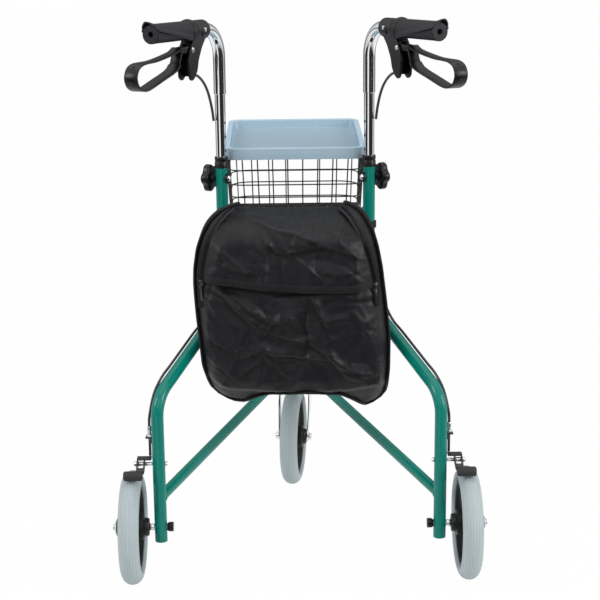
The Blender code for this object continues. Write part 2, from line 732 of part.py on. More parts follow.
# Castor
def make_castor(parent):
    """The stem and fork that carry the front wheel's axle."""
    stem_head_bottom = crown_bottom_z - GAP - 0.005
    nut_bottom = head_bottom_z + BEARING_SPACING + BEARING_HEIGHT + RUNNING
    flange_top = head_bottom_z - RUNNING
    stem = [
        (0, stem_head_bottom), (0.009, stem_head_bottom), (0.009, crown_bottom_z - GAP),
        (CASTOR_STEM_RADIUS, crown_bottom_z - GAP), (CASTOR_STEM_RADIUS, crown_top_z + GAP),
        (CASTOR_FLANGE_RADIUS, crown_top_z + GAP), (CASTOR_FLANGE_RADIUS, flange_top),
        (CASTOR_STEM_RADIUS, flange_top), (CASTOR_STEM_RADIUS, nut_bottom),
        (CASTOR_NUT_RADIUS, nut_bottom), (CASTOR_NUT_RADIUS, nut_bottom + CASTOR_NUT_HEIGHT),
        (CASTOR_STEM_RADIUS, nut_bottom + CASTOR_NUT_HEIGHT),
        (CASTOR_STEM_RADIUS, nut_bottom + CASTOR_NUT_HEIGHT + 0.006),
        (0, nut_bottom + CASTOR_NUT_HEIGHT + 0.006),
    ]
    piece("castor_stem", turned(stem, 12), "zinc_steel", parent)

    half = FORK_HALF_GAP
    crown_z = crown_bottom_z + FORK_THICKNESS / 2
    bottom = WHEEL_RADIUS - FORK_DROPOUT_BELOW_AXLE
    path = filleted(
        [(-half + 0.001, bottom), (-half - 0.0015, WHEEL_RADIUS * 1.7), (-half, crown_z),
         (half, crown_z), (half + 0.0015, WHEEL_RADIUS * 1.7), (half - 0.001, bottom)],
        FORK_CORNER_RADIUS, 4,
    )
    points, sections = [], []
    for x, z in path:
        drop = min(1.0, max(0.0, (crown_z - z) / (crown_z - WHEEL_RADIUS)))
        width = FORK_CROWN_WIDTH + (FORK_DROPOUT_WIDTH - FORK_CROWN_WIDTH) * drop
        centre = -0.006 + (-CASTOR_TRAIL + 0.006) * drop
        points.append(Vector((x, centre, z)))
        sections.append((width / 2, FORK_THICKNESS / 2))
    flat = [Vector((point.x, 0, point.z)) for point in points]
    frames = path_frames(flat, Vector((0, 1, 0)))
    rings = [
        [
            frame @ Vector((a * w, b * t, 0)) + Vector((0, point.y, 0))
            for a, b in ((-1, -1), (1, -1), (1, 1), (-1, 1))
        ]
        for frame, point, (w, t) in zip(frames, points, sections)
    ]
    cutters = [
        rod(
            (-2 * half, -CASTOR_TRAIL, WHEEL_RADIUS), (2 * half, -CASTOR_TRAIL, WHEEL_RADIUS),
            AXLE_RADIUS + GAP, 12,
        ),
        rod((0, 0, crown_bottom_z - 0.01), (0, 0, crown_top_z + 0.01), CASTOR_STEM_RADIUS + GAP, 16),
    ]
    piece("castor_fork", shaped(loft(rings), *cutters), "chrome", parent)

    nut_start = half + FORK_THICKNESS / 2 + GAP
    profile = [
        (0, -nut_start - 0.006), (AXLE_RADIUS, -nut_start - 0.006), (0.0072, -nut_start - 0.004),
        (0.0072, -nut_start), (AXLE_RADIUS, -nut_start), (AXLE_RADIUS, nut_start),
        (0.0072, nut_start), (0.0072, nut_start + 0.004), (AXLE_RADIUS, nut_start + 0.006),
        (0, nut_start + 0.006),
    ]
    axle = moved(turned(profile, 12, "X"), Matrix.Translation((0, -CASTOR_TRAIL, WHEEL_RADIUS)))
    piece("front_axle", axle, "zinc_steel", parent)


# Wheels
def make_tyre(name, parent):
    """A solid grey tyre with ribs running round its tread."""
    points = []
    count = 2 * TYRE_RIBS
    for i in range(count + 1):
        turn = math.pi * (i / count)
        depth = TYRE_RIB_DEPTH if i % 2 == 0 and 0 < i < count else 0.0
        radius = TYRE_HALF_WIDTH - depth
        points.append((tyre_core_radius + radius * math.sin(turn), -radius * math.cos(turn)))
    seat = rim_radius + GAP
    profile = [(seat, -TYRE_HALF_WIDTH * 0.8), *points, (seat, TYRE_HALF_WIDTH * 0.8)]
    piece(name, turned(profile, WHEEL_SIDES, "X"), "grey_tyre", parent)


def make_hub(name, hub_half, parent):
    """The wheel body: rim, web with openings between spokes, and the coned hub."""
    half = [
        (rim_radius - RIM_THICKNESS, RIM_HALF_WIDTH), (rim_radius - RIM_THICKNESS, WEB_HALF_THICKNESS),
        (HUB_CONE_RADIUS, WEB_HALF_THICKNESS), (HUB_CONE_RADIUS, HUB_CONE_HALF),
        (HUB_FLANGE_RADIUS, hub_half), (outer(AXLE_RADIUS, WHEEL_SIDES), hub_half),
    ]
    profile = [(rim_radius, RIM_HALF_WIDTH), *half]
    profile += [(radius, -height) for radius, height in reversed(profile)]
    hub = turned(profile, WHEEL_SIDES, "X")
    inner, rim = HUB_CONE_RADIUS + 0.006, rim_radius - RIM_THICKNESS - 0.006
    windows = []
    for i in range(WEB_OPENINGS):
        middle = math.tau * (i + 0.5) / WEB_OPENINGS
        outline = []
        for radius in (inner, rim):
            reach = math.pi / WEB_OPENINGS - math.asin(SPOKE_WIDTH / 2 / radius)
            steps = (-1, 1) if radius == inner else (1, 0, -1)
            outline += [
                (radius * math.cos(middle + reach * k), radius * math.sin(middle + reach * k))
                for k in steps
            ]
        windows.append(prism(outline, -0.02, 0.02, "YZ"))
    piece(name, shaped(hub, *windows), "black_plastic", parent)


def make_rear_axle(word, side, parent):
    """The axle bolt through wheel and leg, and the black knob on its inner end."""
    wheel = WHEEL_TO_LEG
    out = wheel + HUB_HALF + RUNNING
    spacer_start = TUBE_RADIUS + GAP
    spacer_end = wheel - HUB_HALF - RUNNING
    knob_start = -TUBE_RADIUS - GAP
    tip = knob_start - AXLE_KNOB_NECK
    profile = [
        (0, tip), (AXLE_RADIUS, tip), (AXLE_RADIUS, spacer_start), (AXLE_SPACER_RADIUS, spacer_start),
        (AXLE_SPACER_RADIUS, spacer_end), (AXLE_RADIUS, spacer_end), (AXLE_RADIUS, out),
        (AXLE_CAP_RADIUS, out), (AXLE_CAP_RADIUS * 0.7, out + AXLE_CAP_THICKNESS),
        (AXLE_NUT_RADIUS, out + AXLE_CAP_THICKNESS),
        (AXLE_NUT_RADIUS, out + AXLE_CAP_THICKNESS + AXLE_NUT_LENGTH * 0.7),
        (AXLE_NUT_RADIUS * 0.6, out + AXLE_CAP_THICKNESS + AXLE_NUT_LENGTH),
        (0, out + AXLE_CAP_THICKNESS + AXLE_NUT_LENGTH),
    ]
    place = Matrix.Translation((side * leg_x, rear_axle_y, WHEEL_RADIUS)) @ Matrix.Diagonal((side, 1, 1, 1))
    into = world_of(parent).inverted() @ place
    axle = turned(profile, 12, "X")
    axle.transform(into)
    piece(f"{word}_axle", outward(axle), "zinc_steel", parent)

    bore = AXLE_RADIUS + GAP
    knob = [
        (bore, knob_start), (AXLE_BUSH_RADIUS, knob_start), (AXLE_KNOB_RADIUS, tip),
        (AXLE_KNOB_RADIUS, tip - AXLE_KNOB_LENGTH), (0, tip - AXLE_KNOB_LENGTH), (0, tip - GAP),
        (bore, tip - GAP),
    ]
    mesh = turned(knob, 12, "X")
    mesh.transform(into)
    piece(f"{word}_axle_knob", outward(mesh), "black_plastic", parent)


# Brakes
def shoe_place():
    """The brake shoe's centre behind and below the brake bolt."""
    reach = WHEEL_RADIUS + BRAKE_SHOE_GAP + BRAKE_SHOE_RADIUS
    y = -reach * math.sin(BRAKE_SHOE_ANGLE)
    z = WHEEL_RADIUS + reach * math.cos(BRAKE_SHOE_ANGLE) - brake_bolt_z
    return y, z


def make_brake(word, side, frame, brake):
    """The brake bolt and cable stop on the leg, and the arm and shoe that turn on the bolt."""
    leg_to_frame = world_of(frame).inverted() @ Matrix.Translation((side * leg_x, rear_axle_y, 0))
    mirror = Matrix.Diagonal((side, 1, 1, 1))

    cheek_end = BRAKE_CHEEK_START + BRAKE_ARM_WIDTH
    sleeve_start = BRAKE_CHEEK_START + BRAKE_CHEEK + RUNNING
    sleeve_end = cheek_end - BRAKE_CHEEK - RUNNING
    surface = TUBE_RADIUS + GAP
    bolt = [
        (0, -surface - 0.0042), (0.003, -surface - 0.0042), (0.0044, -surface - 0.002), (0.0044, -surface),
        (BRAKE_BOLT_RADIUS, -surface), (BRAKE_BOLT_RADIUS, surface), (BRAKE_SPACER_RADIUS, surface),
        (BRAKE_SPACER_RADIUS, BRAKE_CHEEK_START - RUNNING), (BRAKE_BOLT_RADIUS, BRAKE_CHEEK_START - RUNNING),
        (BRAKE_BOLT_RADIUS, sleeve_start), (BRAKE_SLEEVE_RADIUS, sleeve_start),
        (BRAKE_SLEEVE_RADIUS, sleeve_end), (BRAKE_BOLT_RADIUS, sleeve_end),
        (BRAKE_BOLT_RADIUS, cheek_end + RUNNING), (BRAKE_NUT_RADIUS, cheek_end + RUNNING),
        (BRAKE_NUT_RADIUS, cheek_end + BRAKE_NUT_LENGTH * 0.6),
        (BRAKE_NUT_RADIUS * 0.5, cheek_end + BRAKE_NUT_LENGTH), (0, cheek_end + BRAKE_NUT_LENGTH),
    ]
    mesh = turned(bolt, 8, "X")
    mesh.transform(leg_to_frame @ Matrix.Translation((0, 0, brake_bolt_z)) @ mirror)
    piece(f"{word}_brake_bolt", outward(mesh), "zinc_steel", frame)

    low = cable_stop_z - CABLE_STOP_WIDTH
    near, far = CABLE_FORWARD - CABLE_STOP_WIDTH / 2, CABLE_FORWARD + CABLE_STOP_WIDTH / 2
    upright = block((0.004, near, low), (0.004 + TUBE_RADIUS, far, cable_stop_z))
    tab = block((0.006, near, cable_stop_z - CABLE_STOP_THICKNESS), (CABLE_STOP_REACH, far, cable_stop_z))
    leg = rod((0, 0, low - 0.01), (0, 0, cable_stop_z + 0.01), TUBE_RADIUS + GAP, TUBE_SIDES * 2)
    hole = rod(
        (CABLE_OUTBOARD, CABLE_FORWARD, low - 0.01), (CABLE_OUTBOARD, CABLE_FORWARD, cable_stop_z + 0.01),
        CABLE_RADIUS + GAP * 2, 8,
    )
    stop = shaped(joined(upright, tab), leg, hole)
    stop.transform(leg_to_frame @ mirror)
    piece(f"{word}_cable_stop", outward(stop), "black_steel", frame)

    shoe_y, shoe_z = shoe_place()

    def boss(y, z, radius, start, end):
        return rod((start, y, z), (end, y, z), radius, 10)

    cheeks = [
        hull(
            boss(0, 0, BRAKE_ARM_RADIUS, start, start + BRAKE_CHEEK),
            boss(CABLE_FORWARD - 0.002, BRAKE_LUG_HEIGHT - 0.002, 0.0025, start, start + BRAKE_CHEEK),
            boss(shoe_y * 0.55, shoe_z * 0.55, 0.0045, start, start + BRAKE_CHEEK),
        )
        for start in (BRAKE_CHEEK_START, cheek_end - BRAKE_CHEEK)
    ]
    lug_top = BRAKE_LUG_HEIGHT + BRAKE_LUG_RISE
    lug = block(
        (TUBE_RADIUS + 0.0015, CABLE_FORWARD - 0.012, lug_top - BRAKE_LUG_THICKNESS),
        (cheek_end - 0.0004, CABLE_FORWARD + 0.003, lug_top),
    )
    carrier = hull(
        boss(shoe_y * 0.52, shoe_z * 0.52, 0.0040, BRAKE_CHEEK_START + 0.0004, cheek_end - 0.0004),
        boss(shoe_y * 0.90, shoe_z * 0.90, 0.0036, BRAKE_CHEEK_START + 0.0004, cheek_end - 0.0004),
    )
    seat = rod((0, shoe_y, shoe_z), (2 * WHEEL_TO_LEG, shoe_y, shoe_z), BRAKE_SHOE_RADIUS + GAP, 16)
    hole = rod((0, 0, 0), (2 * cheek_end, 0, 0), outer(BRAKE_BOLT_RADIUS, 12), 12)
    arm = shaped(joined(lug, *cheeks, carrier), hole, seat)
    arm.transform(mirror)
    piece(f"{word}_brake_arm", outward(arm), "black_steel", brake)

    middle = WHEEL_TO_LEG - 0.0065
    start, end = middle - BRAKE_SHOE_LENGTH / 2, middle + BRAKE_SHOE_LENGTH / 2
    round_off = BRAKE_SHOE_RADIUS * 0.35
    shoe = [
        (0, start), (BRAKE_SHOE_RADIUS - round_off, start), (BRAKE_SHOE_RADIUS, start + round_off),
        (BRAKE_SHOE_RADIUS, end - round_off), (BRAKE_SHOE_RADIUS - round_off, end), (0, end),
    ]
    mesh = turned(shoe, 16, "X")
    mesh.transform(Matrix.Translation((0, shoe_y, shoe_z)))
    mesh.transform(mirror)
    piece(f"{word}_brake_shoe", outward(mesh), "black_rubber", brake)


def lower_cable_route(side):
    """From the hole in the upright, over the sloping run and down the leg to the brake arm."""
    upright, leg = HINGE_TO_UPRIGHT, leg_radius_out
    run = Vector((leg - upright, LOWER_BEND_Z - UPPER_BEND_Z)).normalized()
    over = Vector((-run.y, run.x)) * LOWER_CABLE_LIFT

    def along(share):
        r = upright + (leg - upright) * share + over.x
        z = UPPER_BEND_Z + (LOWER_BEND_Z - UPPER_BEND_Z) * share + over.y
        return Vector((r, side * LOWER_CABLE_SIDE, z))

    lug_z = brake_bolt_z + BRAKE_LUG_HEIGHT + BRAKE_LUG_RISE + CABLE_END_CLEARANCE
    return [
        *(Vector((upright + r, side * n, UPPER_BEND_Z + z)) for r, n, z in LOWER_CABLE_TOP),
        *(along(share) for share in (0.24, 0.40, 0.56, 0.72, 0.84)),
        *(Vector((leg + r, side * n, LOWER_BEND_Z + z)) for r, n, z in LOWER_CABLE_BEND),
        crosswise(side, CABLE_OUTBOARD, CABLE_FORWARD, cable_stop_z + CABLE_ABOVE_STOP),
        crosswise(side, CABLE_OUTBOARD, CABLE_FORWARD, cable_stop_z),
        crosswise(side, CABLE_OUTBOARD, CABLE_FORWARD, lug_z),
    ]


# Clamp of the handle stem
def make_clamp(word, side, frame, knob):
    """The collar on the tube's end, the star knob with its screw, and the bolt head opposite."""
    collar = [
        (STEM_LOWER_RADIUS + RUNNING, FRAME_TOP_Z + GAP), (COLLAR_RADIUS, FRAME_TOP_Z + GAP),
        (COLLAR_RADIUS, FRAME_TOP_Z + COLLAR_HEIGHT * 0.55),
        (COLLAR_RADIUS * 0.96, FRAME_TOP_Z + COLLAR_HEIGHT * 0.6),
        (COLLAR_RADIUS * 0.96, FRAME_TOP_Z + COLLAR_HEIGHT),
        (STEM_LOWER_RADIUS + RUNNING, FRAME_TOP_Z + COLLAR_HEIGHT),
    ]
    mesh = moved(turned(collar, 12), Matrix.Translation((HINGE_TO_UPRIGHT, 0, 0)))
    piece(f"{word}_collar", mesh, "black_plastic", frame)

    surface = TUBE_RADIUS + GAP
    head = [
        (0, surface), (BOLT_CUP_RADIUS, surface), (BOLT_CUP_RADIUS, surface + BOLT_CUP_DEPTH * 0.75),
        (BOLT_CUP_RADIUS * 0.85, surface + BOLT_CUP_DEPTH), (BOLT_DOME_RADIUS, surface + BOLT_CUP_DEPTH),
        (BOLT_DOME_RADIUS * 0.85, surface + BOLT_CUP_DEPTH + BOLT_DOME_HEIGHT * 0.6),
        (BOLT_DOME_RADIUS * 0.4, surface + BOLT_CUP_DEPTH + BOLT_DOME_HEIGHT),
        (0, surface + BOLT_CUP_DEPTH + BOLT_DOME_HEIGHT),
    ]
    mesh = turned(head, 12, "Y")
    mesh.transform(Matrix.Translation((HINGE_TO_UPRIGHT, 0, KNOB_Z)) @ Matrix.Diagonal((1, -side, 1, 1)))
    piece(f"{word}_clamp_bolt", outward(mesh), "black_plastic", frame)

    tip = STEM_LOWER_RADIUS + RUNNING
    face = surface + RUNNING + KNOB_NECK_LENGTH
    lobes = []
    steps = KNOB_LOBES * 5
    for i in range(steps):
        turn = math.tau * i / steps
        radius = KNOB_RADIUS - KNOB_LOBE_DEPTH * (0.5 - 0.5 * math.cos(KNOB_LOBES * turn)) ** 1.4
        lobes.append((radius * math.cos(turn), radius * math.sin(turn)))
    back = face + KNOB_THICKNESS
    levels = [(0.86, face), (1.0, face + 0.003), (1.0, back - 0.003), (0.84, back)]
    star = loft([[Vector((x * k, y, z * k)) for x, z in lobes] for k, y in levels])
    neck = turned(
        [
            (0, tip), (KNOB_SCREW_RADIUS, tip), (KNOB_SCREW_RADIUS, surface + RUNNING),
            (KNOB_NECK_RADIUS * 0.75, surface + RUNNING), (KNOB_NECK_RADIUS, face + 0.002), (0, face + 0.002),
        ],
        16, "Y",
    )
    mesh = joined(star, neck)
    mesh.transform(Matrix.Diagonal((1, side, 1, 1)))
    piece(f"{word}_star_knob", outward(mesh), "black_plastic", knob)


# Handles
def make_stem(name, handle):
    """The chromed stem: thinner where it slides in the frame, bent back into the handlebar."""
    top = HANDLE_Z - FRAME_TOP_Z
    corners = [(0, STEM_BOTTOM_Z - FRAME_TOP_Z), (0, top), (GRIP_END - HANDLE_END_SETBACK, top)]
    path = filleted(corners, STEM_BEND_RADIUS, BEND_STEPS)
    step = top - STEM_STEP_BELOW_BAR
    path[1:1] = [Vector((0, step)), Vector((0, step + STEM_STEP_LENGTH))]
    points = [Vector((r, 0, z)) for r, z in path]
    radii = [STEM_LOWER_RADIUS] * 2 + [STEM_RADIUS] * (len(points) - 2)
    stem = swept(points, Vector((0, 1, 0)), [circle(radius, TUBE_SIDES) for radius in radii])
    holes = [
        rod((0, -0.02, z), (0, 0.02, z), HOLE_RADIUS, 6)
        for z in (
            KNOB_Z - FRAME_TOP_Z + HOLE_PITCH * i
            for i in range(-HOLES_BELOW_KNOB, HOLES_ABOVE_KNOB + 1)
        )
    ]
    piece(name, shaped(stem, *holes), "chrome", handle)


def palm_radius(share, turn):
    """Radius of the grip at a share of its length and an angle from the top, positive inwards."""
    edge = math.radians(135 - 65 * share)
    radius = GRIP_RADIUS
    if math.radians(-75) < turn < edge:
        radius = PALM_RADIUS
    tip = max(0.0, 1 - (1 - share) * (GRIP_END - GRIP_START) / PALM_TIP_LENGTH)
    away = abs(turn - math.radians(-27)) / math.radians(30)
    return radius + (PALM_TIP_RADIUS - PALM_RADIUS) * tip * max(0.0, 1 - away)


def make_grip(name, side, handle):
    """The moulded grip: a collar, a barrel and the palm rest that overhangs its inner side."""
    top = HANDLE_Z - FRAME_TOP_Z
    collar_end = GRIP_COLLAR_LENGTH / (GRIP_END - GRIP_START)
    rings = []
    for share in (0.0, collar_end * 0.3, collar_end * 0.7, collar_end, 0.3, 0.6, 0.87, 0.97, 1.0):
        swell = math.sin(math.pi * min(1.0, share / collar_end)) if share < collar_end else 0.0
        ring = []
        for i in range(GRIP_SIDES):
            turn = math.tau * i / GRIP_SIDES - math.pi
            radius = max(palm_radius(share, turn), GRIP_RADIUS)
            radius = max(radius, GRIP_RADIUS + (GRIP_COLLAR_RADIUS - GRIP_RADIUS) * swell**0.5)
            if share in (0.0, 1.0):
                radius -= 0.0012
            out = -side * radius * math.sin(turn)
            s = GRIP_START + (GRIP_END - GRIP_START) * share
            ring.append(Vector((s, out, top + radius * math.cos(turn))))
        rings.append(ring)
    grip = loft(rings)
    bar_end = GRIP_END - HANDLE_END_SETBACK + GAP
    bore = rod((GRIP_START - 0.01, 0, top), (bar_end, 0, top), STEM_RADIUS + GAP * 2, TUBE_SIDES)
    mouth = rod((bar_end - 0.001, 0, top), (GRIP_END + 0.01, 0, top), GRIP_END_HOLE_RADIUS, 12)
    piece(name, shaped(grip, bore, mouth), "black_rubber", handle)


def make_housing(name, handle):
    """The lever's housing: a clamp round the bar over a slotted body that holds the pivot pin."""
    top = HANDLE_Z - FRAME_TOP_Z
    end = GRIP_START - GAP * 2
    past_slot = LEVER_LOOP[0][0] + LEVER_EYE_RADIUS
    clamp = rod((HOUSING_CLAMP_START, 0, top), (end, 0, top), HOUSING_CLAMP_RADIUS, 16)
    outline = [(s, top + z) for s, z in (*HOUSING_FRONT, *HOUSING_REAR)]
    body = prism(outline, -HOUSING_HALF_WIDTH, HOUSING_HALF_WIDTH)
    bm = bmesh.new()
    bm.from_mesh(body)
    rims = [edge for edge in bm.edges if abs(edge.verts[0].co.y - edge.verts[1].co.y) < 1e-6]
    bmesh.ops.bevel(bm, geom=rims, offset=HOUSING_EDGE, segments=1, affect="EDGES", profile=0.5, material=-1)
    body = to_mesh(bm)
    pivot_s, pivot_z = LEVER_PIVOT[0], top + LEVER_PIVOT[1]
    barrel = rod((0.5 * HOUSING_CLAMP_START, 0, top), (past_slot, 0, top), STEM_RADIUS + GAP * 2, TUBE_SIDES)
    grip_room = rod((end, 0, top), (past_slot, 0, top), GRIP_COLLAR_RADIUS + RUNNING * 3, 16)
    room = LEVER_EYE_RADIUS + LEVER_CLEARANCE
    slot = block(
        (pivot_s - room, -HOUSING_SLOT_HALF, top + HOUSING_REAR[0][1] - LEVER_EYE_RADIUS),
        (past_slot, HOUSING_SLOT_HALF, pivot_z + room),
    )
    proud = HOUSING_HALF_WIDTH + LEVER_PIN_PROUD
    pin = rod((pivot_s, -proud, pivot_z), (pivot_s, proud, pivot_z), LEVER_PIN_RADIUS, 12)
    mesh = joined(shaped(joined(clamp, body), barrel, grip_room, slot), pin)
    piece(name, mesh, "black_plastic", handle)


def make_lever(name, lever):
    """The looped brake lever: a wide band bent back on itself, with a tang on the pivot pin."""
    pivot_s, pivot_z = LEVER_PIVOT
    points = [Vector((s - pivot_s, 0, z - pivot_z)) for s, z in LEVER_LOOP]
    half, thick = LEVER_HALF_WIDTH, LEVER_BAND / 2
    section = [(-half, -thick), (half, -thick), (half, thick), (-half, thick)]
    band = swept(points, Vector((0, 1, 0)), [section] * len(points), ring=True)
    side, root = LEVER_TANG_HALF, points[0] - Vector((0, 0, LEVER_BAND))
    tang = hull(
        rod((0, -side, 0), (0, side, 0), LEVER_EYE_RADIUS, 12),
        rod((root.x, -side, root.z), (root.x, side, root.z), LEVER_TANG_ROOT, 8),
    )
    eye = rod((0, -2 * side, 0), (0, 2 * side, 0), outer(LEVER_PIN_RADIUS, 12), 12)
    piece(name, shaped(joined(band, tang), eye), "black_plastic", lever)


def upper_cable_route(side):
    """From the housing's front edge down and into the stem's outer side."""
    top = HANDLE_Z - FRAME_TOP_Z
    return [Vector((s, side * n, top + z)) for s, n, z in UPPER_CABLE]


# Folding stay
def stay_top_z():
    """The height of the upper link's top, just under the arm round its pin."""
    slope = (ARM_UPRIGHT_Z - ARM_POST_Z) / HINGE_TO_UPRIGHT
    arm_z = ARM_POST_Z + slope * STAY_TO_HINGE
    under = ARM_RADIUS * math.sqrt(1 + slope * slope)
    return arm_z - under - slope * STAY_HALF_WIDTH - STAY_BELOW_ARM


def make_stay_link(name, level, far_eye, stay):
    """A flat link from the pin under one arm to the middle of the stay."""
    top = -level * (STAY_THICKNESS + RUNNING)
    bottom = top - STAY_THICKNESS
    eye = STAY_EYE_RADIUS if far_eye else STAY_HALF_WIDTH
    bar = hull(
        rod((0, 0, bottom), (0, 0, top), STAY_HALF_WIDTH, 16),
        rod((STAY_LENGTH, 0, bottom), (STAY_LENGTH, 0, top), eye, 16),
    )
    pin = rod((0, 0, bottom + 0.001), (0, 0, STAY_PIN_DEPTH), STAY_PIN_RADIUS, 12)
    mesh = joined(bar, pin)
    if far_eye:
        slack = rod((STAY_LENGTH, 0, bottom - 0.01), (STAY_LENGTH, 0, top + 0.01), STAY_SLACK_RADIUS, 16)
        mesh = shaped(mesh, slack)
    else:
        foot = bottom - STAY_THICKNESS - 2 * RUNNING
        shank = rod((STAY_LENGTH, 0, foot - 0.001), (STAY_LENGTH, 0, bottom + 0.001), STAY_PIN_RADIUS, 12)
        head = rod((STAY_LENGTH, 0, foot - 0.0025), (STAY_LENGTH, 0, foot), STAY_PIN_HEAD_RADIUS, 16)
        mesh = joined(mesh, shank, head)
    piece(name, mesh, "black_steel", stay)


# Basket, tray and bag
def rounded_outline(half, rear, front, rear_radius, front_radius, bays):
    """A rounded outline of points from the rear left corner round: rear, right, front and left."""
    rear_bays, side_bays, front_bays, rear_corner, front_corner = bays
    points = []

    def corner_arc(cx, cy, radius, start, steps):
        turns = [start + math.pi / 2 * i / steps for i in range(steps + 1)]
        return [(cx + radius * math.cos(turn), cy + radius * math.sin(turn)) for turn in turns]

    corners = [
        corner_arc(half - rear_radius, rear + rear_radius, rear_radius, -math.pi / 2, rear_corner),
        corner_arc(half - front_radius, front - front_radius, front_radius, 0, front_corner),
        corner_arc(-half + front_radius, front - front_radius, front_radius, math.pi / 2, front_corner),
        corner_arc(-half + rear_radius, rear + rear_radius, rear_radius, math.pi, rear_corner),
    ]
    counts = (side_bays, front_bays, side_bays, rear_bays)
    for arc, following, count in zip(corners, corners[1:] + corners[:1], counts):
        points += arc
        start, end = Vector(arc[-1]), Vector(following[0])
        points += [tuple(start.lerp(end, i / count)) for i in range(1, count)]
    return points


def make_basket(parent):
    """The basket as a lattice of square wires: walls of bays on a gridded floor."""
    rear = basket_rear_y()
    front = rear + BASKET_DEPTH
    bays = (BASKET_BAYS_REAR, 4, 5, 1, 2)
    floor_z = basket_floor_z()
    tray_rear, rim_rise = tray_rear_y(), math.tan(TRAY_TILT)
    bm = bmesh.new()
    rows = []
    for level, z in enumerate((BASKET_RIM_Z, *BASKET_RING_Z, floor_z)):
        inset = BASKET_TAPER * level / (len(BASKET_RING_Z) + 1)
        outline = rounded_outline(
            BASKET_HALF_WIDTH - inset, rear + inset * 0.3, front - inset,
            BASKET_REAR_RADIUS, BASKET_FRONT_RADIUS, bays,
        )
        row = []
        for x, y in outline:
            height = z + (y - tray_rear) * rim_rise if level == 0 else z
            row.append(bm.verts.new((x, y, height)))
        rows.append(row)
    count = len(rows[0])
    for upper, lower in pairwise(rows):
        for i in range(count):
            after = (i + 1) % count
            bm.faces.new((upper[i], upper[after], lower[after], lower[i]))
    floor = bm.faces.new(rows[-1])
    cuts = [
        (Vector((0, rear + BASKET_DEPTH * share, 0)), Vector((0, 1, 0))) for share in (0.25, 0.5, 0.75)
    ] + [
        (Vector((BASKET_HALF_WIDTH * share, 0, 0)), Vector((1, 0, 0))) for share in (-0.5, 0.0, 0.5)
    ]
    pieces = [floor]
    for point, normal in cuts:
        geom = pieces + list({edge for face in pieces for edge in face.edges})
        geom += list({vert for face in pieces for vert in face.verts})
        made = bmesh.ops.bisect_plane(bm, geom=geom, plane_co=point, plane_no=normal, dist=0.004)
        pieces = [f for f in made["geom"] if isinstance(f, bmesh.types.BMFace)]
    sheet = bpy.data.meshes.new("sheet")
    bm.to_mesh(sheet)
    bm.free()
    helper = bpy.data.objects.new("helper", sheet)
    bpy.context.scene.collection.objects.link(helper)
    wires = helper.modifiers.new("wires", "WIREFRAME")
    wires.thickness = WIRE_THICKNESS
    wires.use_even_offset = False
    wires.use_boundary = True
    graph = bpy.context.evaluated_depsgraph_get()
    lattice = bpy.data.meshes.new_from_object(helper.evaluated_get(graph))
    bpy.data.objects.remove(helper)

    over_cap = HEAD_TUBE_TOP_Z + CAP_HEIGHT + 2 * GAP + HANGER_WIRE_RADIUS
    drop = floor_z - over_cap
    half_route = [
        Vector((HANGER_HALF_WIDTH, rear + BASKET_DEPTH * 0.70, floor_z)),
        Vector((HANGER_HALF_WIDTH, front - 0.004, floor_z - 0.0005)),
        Vector((HANGER_HALF_WIDTH * 0.95, front + (head_y - front) * 0.4, floor_z - drop * 0.4)),
        Vector((HANGER_HALF_WIDTH * 0.75, head_y - 2 * HANGER_PAST_HEAD, over_cap + drop * 0.1)),
        Vector((HANGER_HALF_WIDTH * 0.35, head_y + HANGER_PAST_HEAD, over_cap)),
    ]
    mirror = Matrix.Diagonal((-1, 1, 1, 1))
    hanger = wire(half_route + [mirror @ point for point in reversed(half_route)], HANGER_WIRE_RADIUS, 2)
    feet = [basket_foot(side, floor_z) for side in SIDES.values()]
    piece("basket", joined(lattice, hanger, *feet), "black_steel", parent)


def basket_rear_y():
    """How far back the basket may reach: its rear corners pass inside the sweep of the star knobs."""
    reach = HINGE_TO_UPRIGHT - KNOB_RADIUS - KNOB_CLEARANCE - BASKET_REAR_RADIUS
    aside = BASKET_HALF_WIDTH - BASKET_REAR_RADIUS - HINGE_HALF_GAP
    return hinge_y - math.sqrt(reach**2 - aside**2) - BASKET_REAR_RADIUS


def basket_corner():
    """The floor's corner behind the chamfer, which is its farthest point from the side's hinge."""
    return BASKET_HALF_WIDTH - BASKET_TAPER - BASKET_REAR_RADIUS, basket_rear_y() + BASKET_TAPER * 0.3


def arm_top_z(reach):
    """The height of an arm's top at this distance from its hinge."""
    slope = (ARM_UPRIGHT_Z - ARM_POST_Z) / HINGE_TO_UPRIGHT
    return ARM_POST_Z + slope * reach + ARM_RADIUS * math.sqrt(1 + slope * slope)


def basket_floor_z():
    """The floor lies clear of the arms, which swing in under its rear corners as the frames fold."""
    x, y = basket_corner()
    reach = math.hypot(x - HINGE_HALF_GAP, hinge_y - y) + WIRE_THICKNESS
    return arm_top_z(reach) + WIRE_THICKNESS * 0.75 + BASKET_OVER_ARMS


def basket_foot(side, floor_z):
    """A wire bent down from the floor's corner to stand on the arm that crosses under it."""
    x, y = basket_corner()
    reach = (x - y - HINGE_HALF_GAP + hinge_y) / (math.sin(SPLAY) + math.cos(SPLAY))
    slope = (ARM_UPRIGHT_Z - ARM_POST_Z) / HINGE_TO_UPRIGHT
    rest_z = arm_top_z(reach) + (FOOT_WIRE_RADIUS + GAP) * math.sqrt(1 + slope * slope)
    place = side_axis(side)
    middle = place @ Vector((reach, 0, floor_z))
    spread = Vector((side, 1, 0)).normalized() * FOOT_SPREAD
    bends = [place @ Vector((reach, side * n, rest_z)) for n in (-FOOT_HALF_WIDTH, FOOT_HALF_WIDTH)]
    return wire([middle - spread, *bends, middle + spread], FOOT_WIRE_RADIUS, 1)


def tray_rear_y():
    """The tray's rear edge: its wall stands as far outside the rim wire behind as at the sides."""
    return basket_rear_y() - (TRAY_HALF_WIDTH - BASKET_HALF_WIDTH)


